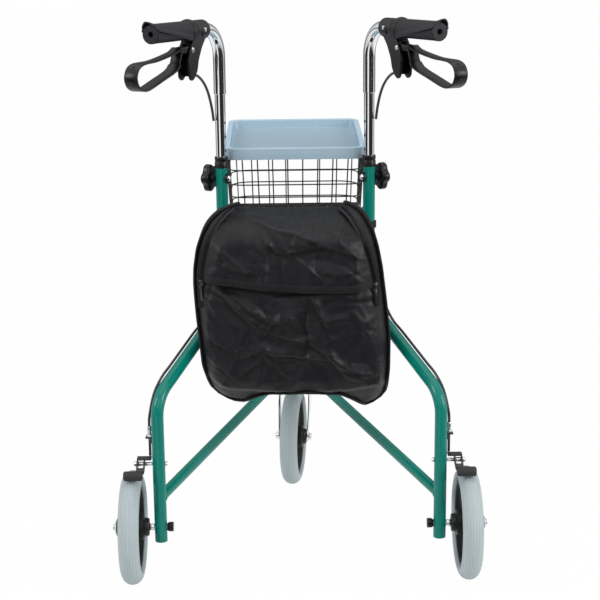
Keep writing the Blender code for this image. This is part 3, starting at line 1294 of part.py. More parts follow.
def make_tray(parent):
    """The tray: a floor between steep walls, and a broad lip over an outer wall that hides the rim wire."""
    rear = tray_rear_y()
    pivot = Vector((0, rear, BASKET_RIM_Z + WIRE_THICKNESS / 2 + GAP * 3 - TRAY_FOOT))
    tilt = Matrix.Translation(pivot) @ Matrix.Rotation(TRAY_TILT, 4, "X")

    def outline(inset, z):
        radius = max(0.004, TRAY_CORNER_RADIUS - inset)
        points = rounded_outline(
            TRAY_HALF_WIDTH - inset, inset, TRAY_DEPTH - inset, radius, radius, (1, 1, 1, 4, 4)
        )
        return [tilt @ Vector((x, y, z)) for x, y in points]

    floor_edge = TRAY_LIP + TRAY_DRAFT
    under_lip, floor_top = TRAY_HEIGHT - TRAY_WALL, TRAY_FOOT + TRAY_WALL
    sections = [
        outline(floor_edge - TRAY_WALL * 0.6, TRAY_FOOT), outline(TRAY_LIP - TRAY_WALL, under_lip),
        outline(TRAY_WALL, under_lip), outline(TRAY_WALL, 0.0004), outline(0.0004, 0),
        outline(0, TRAY_HEIGHT - 0.0012), outline(0.001, TRAY_HEIGHT), outline(TRAY_LIP, TRAY_HEIGHT),
        outline(floor_edge, floor_top + 0.001), outline(floor_edge + 0.0015, floor_top),
    ]
    piece("tray", loft(sections), "tray_plastic", parent)


def make_bag(parent):
    """The zip bag as one closed solid: a sagging body with the flap standing proud above it."""
    rings = []
    for z, half in BAG_HALF_WIDTHS:
        proud = BAG_FLAP_STEP if z >= BAG_FLAP_Z else 0.0
        low = min(1.0, (z - BAG_HALF_WIDTHS[0][0]) / 0.05)
        near = rear_axle_y + BAG_NEAR_Y - proud + 0.020 * (1 - low)
        depth = BAG_DEPTH * (0.55 + 0.45 * low)
        shape = (
            (-1.0, 0.22), (-0.965, 0.07), (-0.62, 0.01), (0.0, 0.0), (0.62, 0.01), (0.965, 0.07),
            (1.0, 0.22), (0.93, 0.38), (0.72, 0.78), (0.36, 1.0), (-0.36, 1.0), (-0.72, 0.78), (-0.93, 0.38),
        )
        rings.append([Vector((BAG_CENTRE_X + half * a, near + depth * b, z)) for a, b in shape])
    straps = []
    bottom, top = BAG_STRAP_Z
    upright_y = hinge_y - HINGE_TO_UPRIGHT * math.cos(SPLAY)
    for side in SIDES.values():
        x = side * (HINGE_HALF_GAP + HINGE_TO_UPRIGHT * math.sin(SPLAY))
        bore = TUBE_RADIUS + 2 * GAP
        loop = rod((x, upright_y, bottom), (x, upright_y, top), bore + BAG_STRAP_THICKNESS, 12)
        start = Vector((BAG_CENTRE_X + side * BAG_STRAP_X, rear_axle_y + BAG_NEAR_Y + BAG_DEPTH * 0.5))
        end = Vector((x - side * 0.004, upright_y - TUBE_RADIUS * 0.8))
        aside = (end - start).orthogonal().normalized() * BAG_STRAP_THICKNESS / 2
        outline = [start + aside, end + aside, end - aside, start - aside]
        band = prism(outline, bottom + 0.001, top - 0.001, "XY")
        round_tube = rod((x, upright_y, bottom - 0.01), (x, upright_y, top + 0.01), bore, TUBE_SIDES)
        straps.append(shaped(joined(loop, band), round_tube))
    piece("bag", joined(loft(rings), *straps), "bag_fabric", parent)


# Assembly
def make_side(word, side, root):
    """One side frame with its wheel, brake, clamp, handle and half of the stay."""
    frame = axis_at(f"{word}_fold_axis", side_axis(side), root)
    make_main_tube(f"{word}_main_tube", side, frame)
    make_upper_arm(f"{word}_upper_arm", frame)
    make_brace(f"{word}_brace", frame)
    make_hinge_post(f"{word}_hinge_post", frame)

    wheel_place = Matrix.Translation((side * (leg_x + WHEEL_TO_LEG), rear_axle_y, WHEEL_RADIUS))
    wheel = axis_at(f"{word}_wheel_axis", wheel_place, frame)
    make_tyre(f"{word}_tyre", wheel)
    make_hub(f"{word}_hub", HUB_HALF, wheel)
    make_rear_axle(word, side, frame)

    brake_place = Matrix.Translation((side * leg_x, rear_axle_y, brake_bolt_z))
    brake = axis_at(f"{word}_brake_axis", brake_place, frame)
    make_brake(word, side, frame, brake)
    piece_curve(f"{word}_lower_cable", cord(lower_cable_route(side), CABLE_RADIUS, 3), frame)

    knob_place = side_axis(side) @ Matrix.Translation((HINGE_TO_UPRIGHT, 0, KNOB_Z))
    knob = axis_at(f"{word}_knob_axis", knob_place, frame)
    make_clamp(word, side, frame, knob)

    handle_place = side_axis(side) @ Matrix.Translation((HINGE_TO_UPRIGHT, 0, FRAME_TOP_Z))
    handle = axis_at(f"{word}_handle_axis", handle_place, frame)
    make_stem(f"{word}_handle_stem", handle)
    make_grip(f"{word}_grip", side, handle)
    make_housing(f"{word}_brake_housing", handle)
    piece_curve(f"{word}_upper_cable", cord(upper_cable_route(side), CABLE_RADIUS, 2), handle)
    pivot_z = HANDLE_Z - FRAME_TOP_Z + LEVER_PIVOT[1]
    lever_place = handle_place @ Matrix.Translation((LEVER_PIVOT[0], 0, pivot_z))
    lever = axis_at(f"{word}_lever_axis", lever_place, handle)
    make_lever(f"{word}_brake_lever", lever)

    pin = side_axis(side) @ Vector((STAY_TO_HINGE, 0, stay_top_z()))
    lean = math.acos(abs(pin.x) / STAY_LENGTH)
    turn = -lean if side < 0 else math.pi + lean
    stay_place = Matrix.Translation(pin) @ Matrix.Rotation(turn, 4, "Z")
    stay = axis_at(f"{word}_stay_axis", stay_place, frame)
    make_stay_link(f"{word}_stay_link", 0 if side > 0 else 1, side < 0, stay)


def main():
    """Builds the rollator about its joint axes."""
    root = axis_at("rollator", Matrix.Identity(4))
    head = axis_at("castor_axis", Matrix.Translation((0, head_y, 0)), root)
    make_head(head)
    castor = axis_at("castor_turn", PLACES["castor_axis"] @ Matrix.Rotation(CASTOR_TURN, 4, "Z"), head)
    make_castor(castor)
    front_place = PLACES["castor_turn"] @ Matrix.Translation((0, -CASTOR_TRAIL, WHEEL_RADIUS))
    front_wheel = axis_at("front_wheel_axis", front_place, castor)
    make_tyre("front_tyre", front_wheel)
    make_hub("front_hub", FRONT_HUB_HALF, front_wheel)
    for word, side in SIDES.items():
        make_side(word, side, root)
    make_basket(root)
    make_tray(root)
    make_bag(root)


main()
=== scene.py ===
"""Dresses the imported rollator: finer pieces, finishes, the soft bag, the studio and the camera.

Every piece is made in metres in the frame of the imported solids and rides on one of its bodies.
"""

import logging
from bisect import bisect_right
from collections.abc import Callable, Sequence
from dataclasses import dataclass
from enum import Enum
from itertools import pairwise
from math import asin, atan2, copysign, cos, hypot, pi, radians, sin, sqrt, tan, tau

import bmesh
import bpy
from bmesh import ops
from bmesh.types import BMEdge, BMVert
from mathutils import Matrix, Vector, noise
from mathutils.bvhtree import BVHTree
from mathutils.geometry import delaunay_2d_cdt


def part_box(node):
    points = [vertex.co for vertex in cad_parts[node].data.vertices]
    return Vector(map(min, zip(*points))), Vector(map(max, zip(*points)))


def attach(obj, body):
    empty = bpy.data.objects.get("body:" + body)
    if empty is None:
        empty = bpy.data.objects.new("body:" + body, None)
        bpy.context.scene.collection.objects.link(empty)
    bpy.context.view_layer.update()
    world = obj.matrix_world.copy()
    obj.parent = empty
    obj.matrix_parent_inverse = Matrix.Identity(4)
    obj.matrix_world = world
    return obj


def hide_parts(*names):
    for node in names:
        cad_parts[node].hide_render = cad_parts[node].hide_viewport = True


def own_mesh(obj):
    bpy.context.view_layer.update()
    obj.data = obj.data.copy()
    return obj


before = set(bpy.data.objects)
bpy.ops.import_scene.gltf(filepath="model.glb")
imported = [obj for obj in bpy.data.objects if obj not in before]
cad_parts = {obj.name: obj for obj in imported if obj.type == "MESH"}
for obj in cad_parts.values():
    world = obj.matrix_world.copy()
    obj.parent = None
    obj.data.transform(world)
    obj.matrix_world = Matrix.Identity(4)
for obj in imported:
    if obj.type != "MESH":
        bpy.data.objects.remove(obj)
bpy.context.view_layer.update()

logging.basicConfig(level=logging.INFO, format="%(levelname)s %(message)s")
LOG = logging.getLogger("rollator")

Pair = tuple[float, float]
Triple = tuple[float, float, float]
Colour = tuple[float, float, float]
Wire = tuple[Sequence[Vector], bool, float]
Fold = tuple[float, tuple[Pair, ...]]

SAME_PLACE = 2e-6
SMOOTH_ANGLE = 38.0
UP = Vector((0, 0, 1))
WHITE = (1.0, 1.0, 1.0, 1.0)


class Side(Enum):
    """The two sides of the rollator, with the sign of X on each."""

    LEFT = -1
    RIGHT = 1

    @property
    def word(self) -> str:
        """The side's name as the bodies and nodes spell it."""
        return self.name.lower()


# Numbers, paths and places


def srgb(red: int, green: int, blue: int) -> Colour:
    """A colour as a screen shows it, turned into the linear values of a shader."""
    shares = (channel / 255 for channel in (red, green, blue))
    return tuple(s / 12.92 if s <= 0.04045 else ((s + 0.055) / 1.055) ** 2.4 for s in shares)


def shade(colour: Colour, factor: float) -> Colour:
    """A colour made darker or lighter by a factor."""
    return tuple(channel * factor for channel in colour)


def mm(*rows: float | tuple) -> tuple:
    """Numbers in millimetres, however nested, turned into metres."""
    return tuple(mm(*row) if isinstance(row, tuple) else row / 1000 for row in rows)


def table(points: Sequence[Pair], at: float) -> float:
    """The value at a place in a table of (place, value) pairs, with straight lines between them."""
    places = [place for place, _ in points]
    after = min(max(bisect_right(places, at), 1), len(points) - 1)
    (x0, y0), (x1, y1) = points[after - 1], points[after]
    return y0 + (y1 - y0) * held((at - x0) / (x1 - x0))


def held(share: float) -> float:
    """A share held between 0 and 1."""
    return min(1.0, max(0.0, share))


def eased(share: float) -> float:
    """A share from 0 to 1 that starts and ends gently."""
    share = held(share)
    return share * share * (3 - 2 * share)


def turns(count: int, whole: float = tau) -> list[float]:
    """The angles that part a turn into so many steps, without its end."""
    return [whole * i / count for i in range(count)]


def circle(radius: float, sides: int) -> list[Pair]:
    """The corners of a round section."""
    return [(radius * cos(turn), radius * sin(turn)) for turn in turns(sides)]


def strip(width: float, thickness: float, corner: float) -> list[Pair]:
    """The corners of a flat section, with its own corners cut back by corner."""
    w, t, c, bevel = width / 2, thickness / 2, corner, corner * 0.3
    return [
        (-w + c, -t), (w - c, -t), (w - bevel, -t + bevel), (w, -t + c),
        (w, t - c), (w - bevel, t - bevel), (w - c, t), (-w + c, t),
        (-w + bevel, t - bevel), (-w, t - c), (-w, -t + c), (-w + bevel, -t + bevel),
    ]


def rod(radius: float, low: float, high: float) -> list[Pair]:
    """The profile of an upright rod."""
    return [(0, low), (radius, low), (radius, high), (0, high)]


def tube(bore: float, radius: float, ends: Pair, chamfer: float) -> list[Pair]:
    """The profile of an upright tube with chamfered ends."""
    low, high = ends
    return [
        (bore, low), (radius - chamfer, low), (radius, low + chamfer), (radius, high - chamfer),
        (radius - chamfer, high), (bore, high),
    ]


def rounded(corners: Sequence[Sequence[float]], radius: float, steps: int, ring: bool = False) -> list[Vector]:
    """A path with its corners turned into arcs.

    Args:
        corners: The corners of the path, in order.
        radius: The radius of each arc.
        steps: The steps of each arc.
        ring: Whether the path closes on itself.

    Returns:
        The points of the rounded path.
    """
    path = [Vector(corner) for corner in corners]
    middle = path if ring else path[1:-1]
    before = path[-1:] + path[:-1] if ring else path[:-2]
    after = path[1:] + path[:1] if ring else path[2:]
    points = [] if ring else [path[0]]
    for last, corner, following in zip(before, middle, after):
        into, out = (last - corner).normalized(), (following - corner).normalized()
        half = into.angle(out) / 2
        centre = corner + (into + out).normalized() * radius / sin(half)
        start = corner + into * radius / tan(half) - centre
        end = corner + out * radius / tan(half) - centre
        points += [centre + start.slerp(end, i / steps) * radius for i in range(steps + 1)]
    return points if ring else points + [path[-1]]


def smooth_path(points: Sequence[Vector], steps: int, ring: bool = False) -> list[Vector]:
    """A smooth path through the points, with this many steps between each two."""
    path = [Vector(point) for point in points]
    ends = [path[-1], *path, path[0], path[1]] if ring else [path[0], *path, path[-1]]
    fine = []
    for a, b, c, d in zip(ends, ends[1:], ends[2:], ends[3:]):
        for t in turns(steps, 1):
            fine.append(
                0.5 * (2 * b + (c - a) * t + (2 * a - 5 * b + 4 * c - d) * t**2 + (3 * b - a - 3 * c + d) * t**3)
            )
    return fine if ring else fine + [path[-1]]


def shift(x: float | Vector, y: float = 0.0, z: float = 0.0) -> Matrix:
    """A move by a vector, or by its three parts."""
    return Matrix.Translation(x if isinstance(x, Vector) else (x, y, z))


def turned(angle: float, axis: str) -> Matrix:
    """A turn about X, Y or Z."""
    return Matrix.Rotation(angle, 4, axis)


def axes(x: Vector, y: Vector, z: Vector, origin: Sequence[float]) -> Matrix:
    """The place that has these axes and this origin."""
    place = Matrix((x, y, z)).transposed().to_4x4()
    place.translation = origin
    return place


def places_along(points: Sequence[Vector], across: Vector | Sequence[Vector], ring: bool = False) -> list[Matrix]:
    """A place at each point of a path: Z along it, and X as near to across as it can be.

    Args:
        points: The points of the path.
        across: The wanted direction of X, one for the whole path or one for each point.
        ring: Whether the path closes on itself.

    Returns:
        One matrix for each point.
    """
    places = []
    last = len(points) - 1
    for i, point in enumerate(points):
        before = points[i - 1] if ring or i > 0 else point
        after = points[(i + 1) % len(points)] if ring or i < last else point
        along = (after - before).normalized()
        wanted = across if isinstance(across, Vector) else across[i]
        side = (wanted - along * wanted.dot(along)).normalized()
        places.append(axes(side, along.cross(side), along, point))
    return places


def linked(name: str, data: bpy.types.ID) -> bpy.types.Object:
    """A new object of the scene."""
    made = bpy.data.objects.new(name, data)
    bpy.context.scene.collection.objects.link(made)
    return made


# Finishes


class Signal:
    """A value on a shader socket that takes part in Python arithmetic."""

    def __init__(self, graph: "Graph", socket: bpy.types.NodeSocket) -> None:
        self.graph = graph
        self.socket = socket

    def __add__(self, other: "Signal | float") -> "Signal":
        """Their sum."""
        return self.graph.maths("ADD", self, other)

    def __rsub__(self, other: float) -> "Signal":
        """A number less this value."""
        return self.graph.maths("SUBTRACT", other, self)

    def __mul__(self, other: "Signal | float") -> "Signal":
        """Their product."""
        return self.graph.maths("MULTIPLY", self, other)


class Graph:
    """The nodes of a material or of the world."""

    def __init__(self, owner: bpy.types.Material | bpy.types.World) -> None:
        owner.use_nodes = True
        self.nodes = owner.node_tree.nodes
        self.links = owner.node_tree.links
        self.shader = self.nodes.get("Principled BSDF") or self.nodes["Background"]
        self.coordinates = self.nodes.new("ShaderNodeTexCoord").outputs
        self.places = self.coordinates["Object"]

    def add(self, kind: str, settings: dict | None = None, inputs: dict | None = None) -> bpy.types.NodeOutputs:
        """Adds one node.

        Args:
            kind: The node's type, without its prefix.
            settings: Its properties.
            inputs: The value or link of each socket, by name or number.

        Returns:
            The node's outputs.
        """
        node = self.nodes.new(f"ShaderNode{kind}")
        for key, value in (settings or {}).items():
            setattr(node, key, value)
        for key, value in (inputs or {}).items():
            self.feed(node.inputs[key], value)
        return node.outputs

    def feed(self, socket: bpy.types.NodeSocket, value: "Signal | bpy.types.NodeSocket | float | tuple") -> None:
        """Links a value to a socket, or sets it there when it is a plain number or colour."""
        source = value.socket if isinstance(value, Signal) else value
        if isinstance(source, bpy.types.NodeSocket):
            self.links.new(source, socket)
        else:
            socket.default_value = source

    def maths(self, operation: str, *values: "Signal | float") -> Signal:
        """The result of one Math node."""
        return Signal(self, self.add("Math", {"operation": operation}, dict(enumerate(values)))[0])

    def ramp(self, value: Signal, source: Pair, target: Pair = (0.0, 1.0)) -> Signal:
        """A value carried from one range to another, and held inside it."""
        ends = {"From Min": source[0], "From Max": source[1], "To Min": target[0], "To Max": target[1]}
        return Signal(self, self.add("MapRange", {}, {"Value": value, **ends})[0])

    def parts(self, vector: bpy.types.NodeSocket) -> list[Signal]:
        """The X, Y and Z of a vector."""
        return [Signal(self, part) for part in self.add("SeparateXYZ", {}, {0: vector})]

    def rays(self, *kinds: str) -> list[Signal]:
        """Whether the ray is of each kind."""
        path = self.add("LightPath")
        return [Signal(self, path[f"Is {kind} Ray"]) for kind in kinds]

    def where(self, scale: tuple = (1, 1, 1), turn: tuple = (0, 0, 0)) -> bpy.types.NodeSocket:
        """The place on the object, scaled and turned."""
        return self.add("Mapping", {}, {"Vector": self.places, "Scale": scale, "Rotation": turn})[0]

    def cloud(self, scale: float, detail: float = 3.0, at: bpy.types.NodeSocket | None = None) -> Signal:
        """Soft noise from 0 to 1, with this many clouds a metre."""
        sockets = {"Vector": at or self.places, "Scale": scale, "Detail": detail}
        return Signal(self, self.add("TexNoise", {}, sockets)[0])

    def cells(self, scale: float) -> Signal:
        """The distance to the nearest of this many cells a metre."""
        return Signal(self, self.add("TexVoronoi", {}, {"Vector": self.places, "Scale": scale})[0])

    def bands(self, pitch: float, direction: str = "X", at: bpy.types.NodeSocket | None = None) -> Signal:
        """Even bands across one direction, this far apart in metres."""
        sockets = {"Vector": at or self.places, "Scale": tau / 20 / pitch}
        return Signal(self, self.add("TexWave", {"bands_direction": direction}, sockets)[1])

    def attribute(self, name: str) -> Signal:
        """A value that the mesh carries."""
        return Signal(self, self.add("Attribute", {"attribute_name": name})["Fac"])

    def blend(self, first: tuple | bpy.types.NodeSocket, second: tuple, share: Signal) -> bpy.types.NodeSocket:
        """A colour between two others."""
        start = (*first, 1.0) if isinstance(first, tuple) else first
        return self.add("Mix", {"data_type": "RGBA"}, {0: share, 6: start, 7: (*second, 1.0)})[2]

    def relief(self, height: Signal, depth: float, strength: float) -> None:
        """Raises the surface by a height from 0 to 1, times depth in metres."""
        bump = self.add("Bump", {}, {"Height": height, "Distance": depth, "Strength": strength})
        self.set(Normal=bump[0])

    def set(self, **sockets: "Signal | float | tuple") -> None:
        """Sets sockets of the shader, named with underscores for spaces."""
        for name, value in sockets.items():
            self.feed(self.shader.inputs[name.replace("_", " ")], value)


@dataclass(frozen=True)
class Finish:
    """One finish of the rollator: its name, the record's slot, colour and roughness."""

    name: str
    slot: str
    colour: Colour
    roughness: float

    def material(self) -> bpy.types.Material:
        """The finish as a material, made the first time that it is asked for."""
        if self.name not in bpy.data.materials:
            self.dress(Graph(bpy.data.materials.new(self.name)))
        return bpy.data.materials[self.name]

    def dress(self, graph: Graph) -> None:
        """Adds this finish's own nodes."""
        raise NotImplementedError

    def blend(self, graph: Graph, low: float, high: float, share: Signal) -> bpy.types.NodeSocket:
        """A colour between two shades of the finish's own."""
        return graph.blend(shade(self.colour, low), shade(self.colour, high), share)


class Enamel(Finish):
    """Gloss paint on a tube: slightly uneven in depth, with the faint peel of sprayed paint."""

    def dress(self, graph: Graph) -> None:
        graph.set(
            Base_Color=self.blend(graph, 0.90, 1.08, graph.cloud(9.0, 2.0)),
            Roughness=graph.cloud(60.0, 4.0) * 0.10 + (self.roughness - 0.05),
            Coat_Weight=0.18, Coat_Roughness=0.10, Specular_IOR_Level=0.22,
        )
        graph.relief(graph.cloud(700.0, 2.0), 0.00006, 0.5)


class Plating(Finish):
    """Chrome or zinc on steel, with fine drawn lines and a few hazy spots."""

    def dress(self, graph: Graph) -> None:
        lines, haze = graph.cloud(60.0, 3.0, graph.where((1, 1, 0.06))), graph.cloud(14.0, 4.0)
        rough = self.roughness
        graph.set(
            Base_Color=self.blend(graph, 0.93, 1.0, haze), Metallic=1.0,
            Roughness=lines * (rough * 0.5) + haze * (rough * 0.4) + rough * 0.55,
        )
        graph.relief(lines, 0.00002, 0.3)


class Moulding(Finish):
    """Matt moulded plastic with a fine spark-eroded grain and lighter worn patches."""

    def dress(self, graph: Graph) -> None:
        worn = graph.cloud(35.0, 5.0)
        graph.set(
            Base_Color=self.blend(graph, 0.80, 1.25, worn), Roughness=worn * 0.16 + (self.roughness - 0.08),
            Specular_IOR_Level=0.32,
        )
        graph.relief(graph.cells(1500.0) * 0.6 + graph.cloud(900.0) * 0.4, 0.00010, 0.6)


class GripRubber(Finish):
    """Soft grip rubber: a pebbled skin crossed by shallow ribs round the barrel."""

    def dress(self, graph: Graph) -> None:
        worn = graph.cloud(45.0, 4.0)
        graph.set(
            Base_Color=self.blend(graph, 0.82, 1.22, worn), Roughness=worn * 0.15 + (self.roughness - 0.06),
            Specular_IOR_Level=0.30,
        )
        graph.relief(graph.cells(1100.0) * 0.4 + graph.attribute("ribs"), 0.00022, 0.8)


class Knurled(Finish):
    """Hard rubber with a crossed knurl, as on a brake shoe."""

    def dress(self, graph: Graph) -> None:
        leans = [graph.bands(0.0021, "X", graph.where((1, 1, 1), (0, lean, 0))) for lean in (0.8, -0.8)]
        cross = leans[0] * leans[1]
        graph.set(
            Base_Color=self.blend(graph, 0.7, 1.3, cross), Roughness=graph.cloud(120.0) * 0.15 + self.roughness,
            Specular_IOR_Level=0.4,
        )
        graph.relief(cross + graph.cloud(500.0) * 0.5, 0.0004, 0.8)


class TyreRubber(Finish):
    """Grey solid tyre: darker in the grooves, with patches of dust, and a little polished on the tread."""

    def dress(self, graph: Graph) -> None:
        dust = graph.cloud(28.0, 6.0)
        graph.set(
            Base_Color=self.blend(graph, 1.0, 0.80, graph.attribute("groove") * 0.75 + dust * 0.30),
            Roughness=dust * 0.22 + (self.roughness - 0.10), Specular_IOR_Level=0.45,
        )
        graph.relief(graph.cloud(420.0, 4.0), 0.00025, 0.4)


class SatinTray(Finish):
    """Satin moulded tray plastic with a painted highlight on its lips, flow lines and light use marks."""

    def dress(self, graph: Graph) -> None:
        flow = graph.cloud(7.0, 2.0, graph.where((1.0, 0.35, 1.0)))
        marks = graph.cloud(90.0, 6.0, graph.where((1.0, 0.25, 1.0), (0, 0, 0.5)))
        body = self.blend(graph, 0.93, 1.03, flow)
        graph.set(
            # The lip attribute paints a highlight: the lips are 1.42 times paler than the rest.
            Base_Color=graph.blend(body, shade(self.colour, 1.42), graph.attribute("lip")),
            Roughness=marks * 0.16 + (self.roughness - 0.06), Specular_IOR_Level=0.5,
        )
        graph.relief(graph.cells(1300.0) + marks * 0.5, 0.00008, 0.35)


class WireCoat(Finish):
    """Black coated wire and pressed steel, glossier where the coat is thick."""

    def dress(self, graph: Graph) -> None:
        thick = graph.cloud(140.0, 3.0)
        graph.set(
            Base_Color=self.blend(graph, 1.0, 1.7, thick), Roughness=thick * 0.18 + (self.roughness - 0.08),
            Specular_IOR_Level=0.5,
        )
        graph.relief(graph.cloud(1200.0, 2.0), 0.00006, 0.5)


class Nylon(Finish):
    """Coated bag nylon: a plain weave, a dull sheen, and painted light and shade from the mesh: a painted highlight
    with rubbing along fold crests, painted shade under folds.
    """

    def dress(self, graph: Graph) -> None:
        warp = graph.bands(0.0011, "X", graph.where((1, 1, 1), (0, 0, radians(35))))
        weft = graph.bands(0.0011, "Z")
        weave = warp * weft + (1.0 - warp) * (1.0 - weft)
        rubbed, tint = graph.cloud(26.0, 5.0), graph.attribute("tint")
        # The base colour runs from 2.6 to 0.3 times the cloth's own: the mesh attribute paints highlights on fold
        # crests and shade under folds, below the hem, on the flap's rolled top and on the back.
        graph.set(
            Base_Color=self.blend(graph, 2.6, 0.30, weave * 0.14 + rubbed * 0.22 + tint * 0.6 + 0.50),
            Roughness=rubbed * 0.14 + (self.roughness - 0.06) + tint * 0.12,
            Sheen_Weight=0.02, Sheen_Roughness=0.40, Specular_IOR_Level=0.24,
        )
        wrinkles = graph.cloud(38.0, 5.0, graph.where((1.0, 1.0, 1.6), (0, 0.6, 0)))
        graph.relief(weave * 0.03 + wrinkles * 0.94 + graph.cloud(300.0, 3.0) * 0.03, 0.0050, 0.30)


class Webbing(Finish):
    """Woven tape: ribs across its length, read from the distance along it."""

    def dress(self, graph: Graph) -> None:
        ribs = graph.maths("SINE", graph.attribute("along") * (tau / 0.0016)) * 0.5 + 0.5
        fluff = graph.cloud(400.0, 4.0)
        graph.set(
            Base_Color=self.blend(graph, 0.7, 1.35, ribs * 0.6 + fluff * 0.4),
            Roughness=fluff * 0.15 + (self.roughness - 0.08), Sheen_Weight=0.04, Specular_IOR_Level=0.25,
        )
        graph.relief(ribs + fluff * 0.3, 0.00025, 0.8)


GREEN = Enamel("green_enamel", "green_paint", srgb(0, 118, 105), 0.26)
CHROME = Plating("bright_chrome", "chrome", (0.86, 0.87, 0.89), 0.07)
ZINC = Plating("bright_zinc", "zinc_steel", (0.72, 0.73, 0.75), 0.24)
PLASTIC = Moulding("black_moulding", "black_plastic", srgb(12, 12, 14), 0.34)
HUB_PLASTIC = Moulding("hub_moulding", "black_plastic", srgb(14, 14, 16), 0.44)
GRIP = GripRubber("grip_rubber", "black_rubber", srgb(28, 27, 32), 0.50)
SHOE = Knurled("shoe_rubber", "black_rubber", srgb(46, 46, 48), 0.55)
CABLE = WireCoat("cable_sleeve", "black_rubber", srgb(38, 38, 41), 0.40)
WIRE = WireCoat("basket_coat", "black_steel", srgb(18, 18, 20), 0.36)
STEEL = WireCoat("bracket_coat", "black_steel", srgb(36, 36, 39), 0.42)
DARK_NICKEL = Plating("dark_nickel", "zinc_steel", (0.10, 0.10, 0.11), 0.30)
TYRE = TyreRubber("tyre_rubber", "grey_tyre", srgb(172, 184, 187), 0.52)
TRAY = SatinTray("tray_satin", "tray_plastic", srgb(158, 182, 197), 0.36)
NYLON = Nylon("bag_nylon", "bag_fabric", srgb(19, 18, 22), 0.42)
TAPE = Webbing("bag_tape", "bag_fabric", srgb(15, 14, 18), 0.62)


# Shaping


class Form:
    """The shape of a piece, built up with mesh operators."""

    def __init__(self, owner: str = "") -> None:
        """Starts empty. The owner, left, right or front, goes before each name of a piece that has twins."""
        self.bm = bmesh.new()
        self.prefix = f"{owner}_" if owner else ""

    def layer(self, name: str) -> bmesh.types.BMLayerItem:
        """The layer that holds a number for each vertex."""
        layers = self.bm.verts.layers.float
        return layers.get(name) or layers.new(name)

    def fresh(self, before: set[BMVert]) -> list[BMVert]:
        """The vertices that were added since before."""
        return [vert for vert in self.bm.verts if vert not in before]

    def move(self, place: Matrix, verts: Sequence[BMVert] | None = None) -> None:
        """Moves some vertices, or all of them, by a place."""
        ops.transform(self.bm, matrix=place, verts=verts or self.bm.verts)

    def bevel(self, edges: Sequence[BMEdge], width: float, segments: int, kind: str = "EDGES", **more: bool) -> None:
        """Rounds some edges or corners."""
        ops.bevel(
            self.bm, geom=edges, offset=width, segments=segments, affect=kind, profile=0.5, material=-1, **more
        )

    def spin(self, profile: Sequence[Pair], steps: int, place: Matrix | None = None) -> list[BMVert]:
        """Turns a profile of (radius, height) pairs about Z, closed on itself or on the axis.

        Args:
            profile: The pairs, in order.
            steps: The steps of the full turn.
            place: Where the turned shape goes.

        Returns:
            The new vertices.
        """
        before = set(self.bm.verts)
        verts = [self.bm.verts.new((radius, 0.0, height)) for radius, height in profile]
        edges = [self.bm.edges.new(pair) for pair in pairwise(verts)]
        if profile[0][0] > 0 or profile[-1][0] > 0:
            edges.append(self.bm.edges.new((verts[-1], verts[0])))
        ops.spin(self.bm, geom=verts + edges, cent=(0, 0, 0), axis=(0, 0, 1), angle=tau, steps=steps, use_merge=True)
        made = self.fresh(before)
        if place is not None:
            self.move(place, made)
        return made

    def sweep(
        self,
        places: Sequence[Matrix],
        section: Sequence[Pair],
        ring: bool = False,
        scales: Sequence[Pair] | None = None,
    ) -> None:
        """Extrudes a section from place to place. Each vertex carries its distance along the path.

        Args:
            places: The places, Z along the path.
            section: The section's corners in X and Y of each place.
            ring: Whether the path closes on itself.
            scales: The section's scale in X and Y at each place.
        """
        bm, along = self.bm, self.layer("along")
        scaled = [
            place @ Matrix.Diagonal((*scale, 1.0, 1.0))
            for place, scale in zip(places, scales or [(1.0, 1.0)] * len(places))
        ]
        verts = [bm.verts.new((x, y, 0.0)) for x, y in section]
        edges = [bm.edges.new((a, b)) for a, b in zip(verts, verts[1:] + verts[:1])]
        self.move(scaled[0], verts)
        first, distance = edges, 0.0
        for (before, after), (start, end) in zip(pairwise(scaled), pairwise(places)):
            distance += (end.translation - start.translation).length
            grown = ops.extrude_edge_only(bm, edges=edges)["geom"]
            verts = [item for item in grown if isinstance(item, BMVert)]
            fresh = set(verts)
            edges = [e for e in grown if isinstance(e, BMEdge) and e.verts[0] in fresh and e.verts[1] in fresh]
            self.move(after @ before.inverted(), verts)
            for vert in verts:
                vert[along] = distance
        if ring:
            ops.bridge_loops(bm, edges=first + edges)
        else:
            ops.contextual_create(bm, geom=first)
            ops.contextual_create(bm, geom=edges)

    def pull(self, faces: Sequence[bmesh.types.BMFace], out: Sequence[float], keep: bool = True) -> None:
        """Pulls faces out along a way, and keeps them as the bottom of the slab or not."""
        grown = ops.extrude_face_region(self.bm, geom=faces, use_keep_orig=keep)["geom"]
        ops.translate(self.bm, vec=out, verts=[item for item in grown if isinstance(item, BMVert)])

    def slab(self, outline: Sequence[Sequence[float]], out: Sequence[float]) -> None:
        """Pulls a flat outline out into a slab."""
        self.pull([self.bm.faces.new([self.bm.verts.new(point) for point in outline])], out)

    def block(self, size: Sequence[float], place: Matrix, bevel: float = 0.0, segments: int = 2) -> None:
        """A block of this size with softened edges."""
        before = set(self.bm.verts)
        made = ops.create_cube(self.bm, size=1.0, matrix=Matrix.Diagonal((*size, 1.0)))["verts"]
        if bevel:
            self.bevel(list({edge for vert in made for edge in vert.link_edges}), bevel, segments)
        self.move(place, self.fresh(before))

    def soften(self, width: float, segments: int = 2, sharper: float = 30.0) -> "Form":
        """Rounds every edge that turns by more than an angle in degrees."""
        ops.remove_doubles(self.bm, verts=self.bm.verts, dist=SAME_PLACE)
        edges = [e for e in self.bm.edges if e.is_manifold and e.calc_face_angle() > radians(sharper)]
        self.bevel(edges, width, segments, clamp_overlap=True)
        return self

    def solid_of(self, node: str) -> "Form":
        """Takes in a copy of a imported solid, with its triangles merged into whole faces."""
        self.bm.from_mesh(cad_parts[self.prefix + node].data)
        ops.remove_doubles(self.bm, verts=self.bm.verts, dist=3e-6)
        ops.dissolve_limit(self.bm, angle_limit=radians(0.6), verts=self.bm.verts, edges=self.bm.edges)
        return self

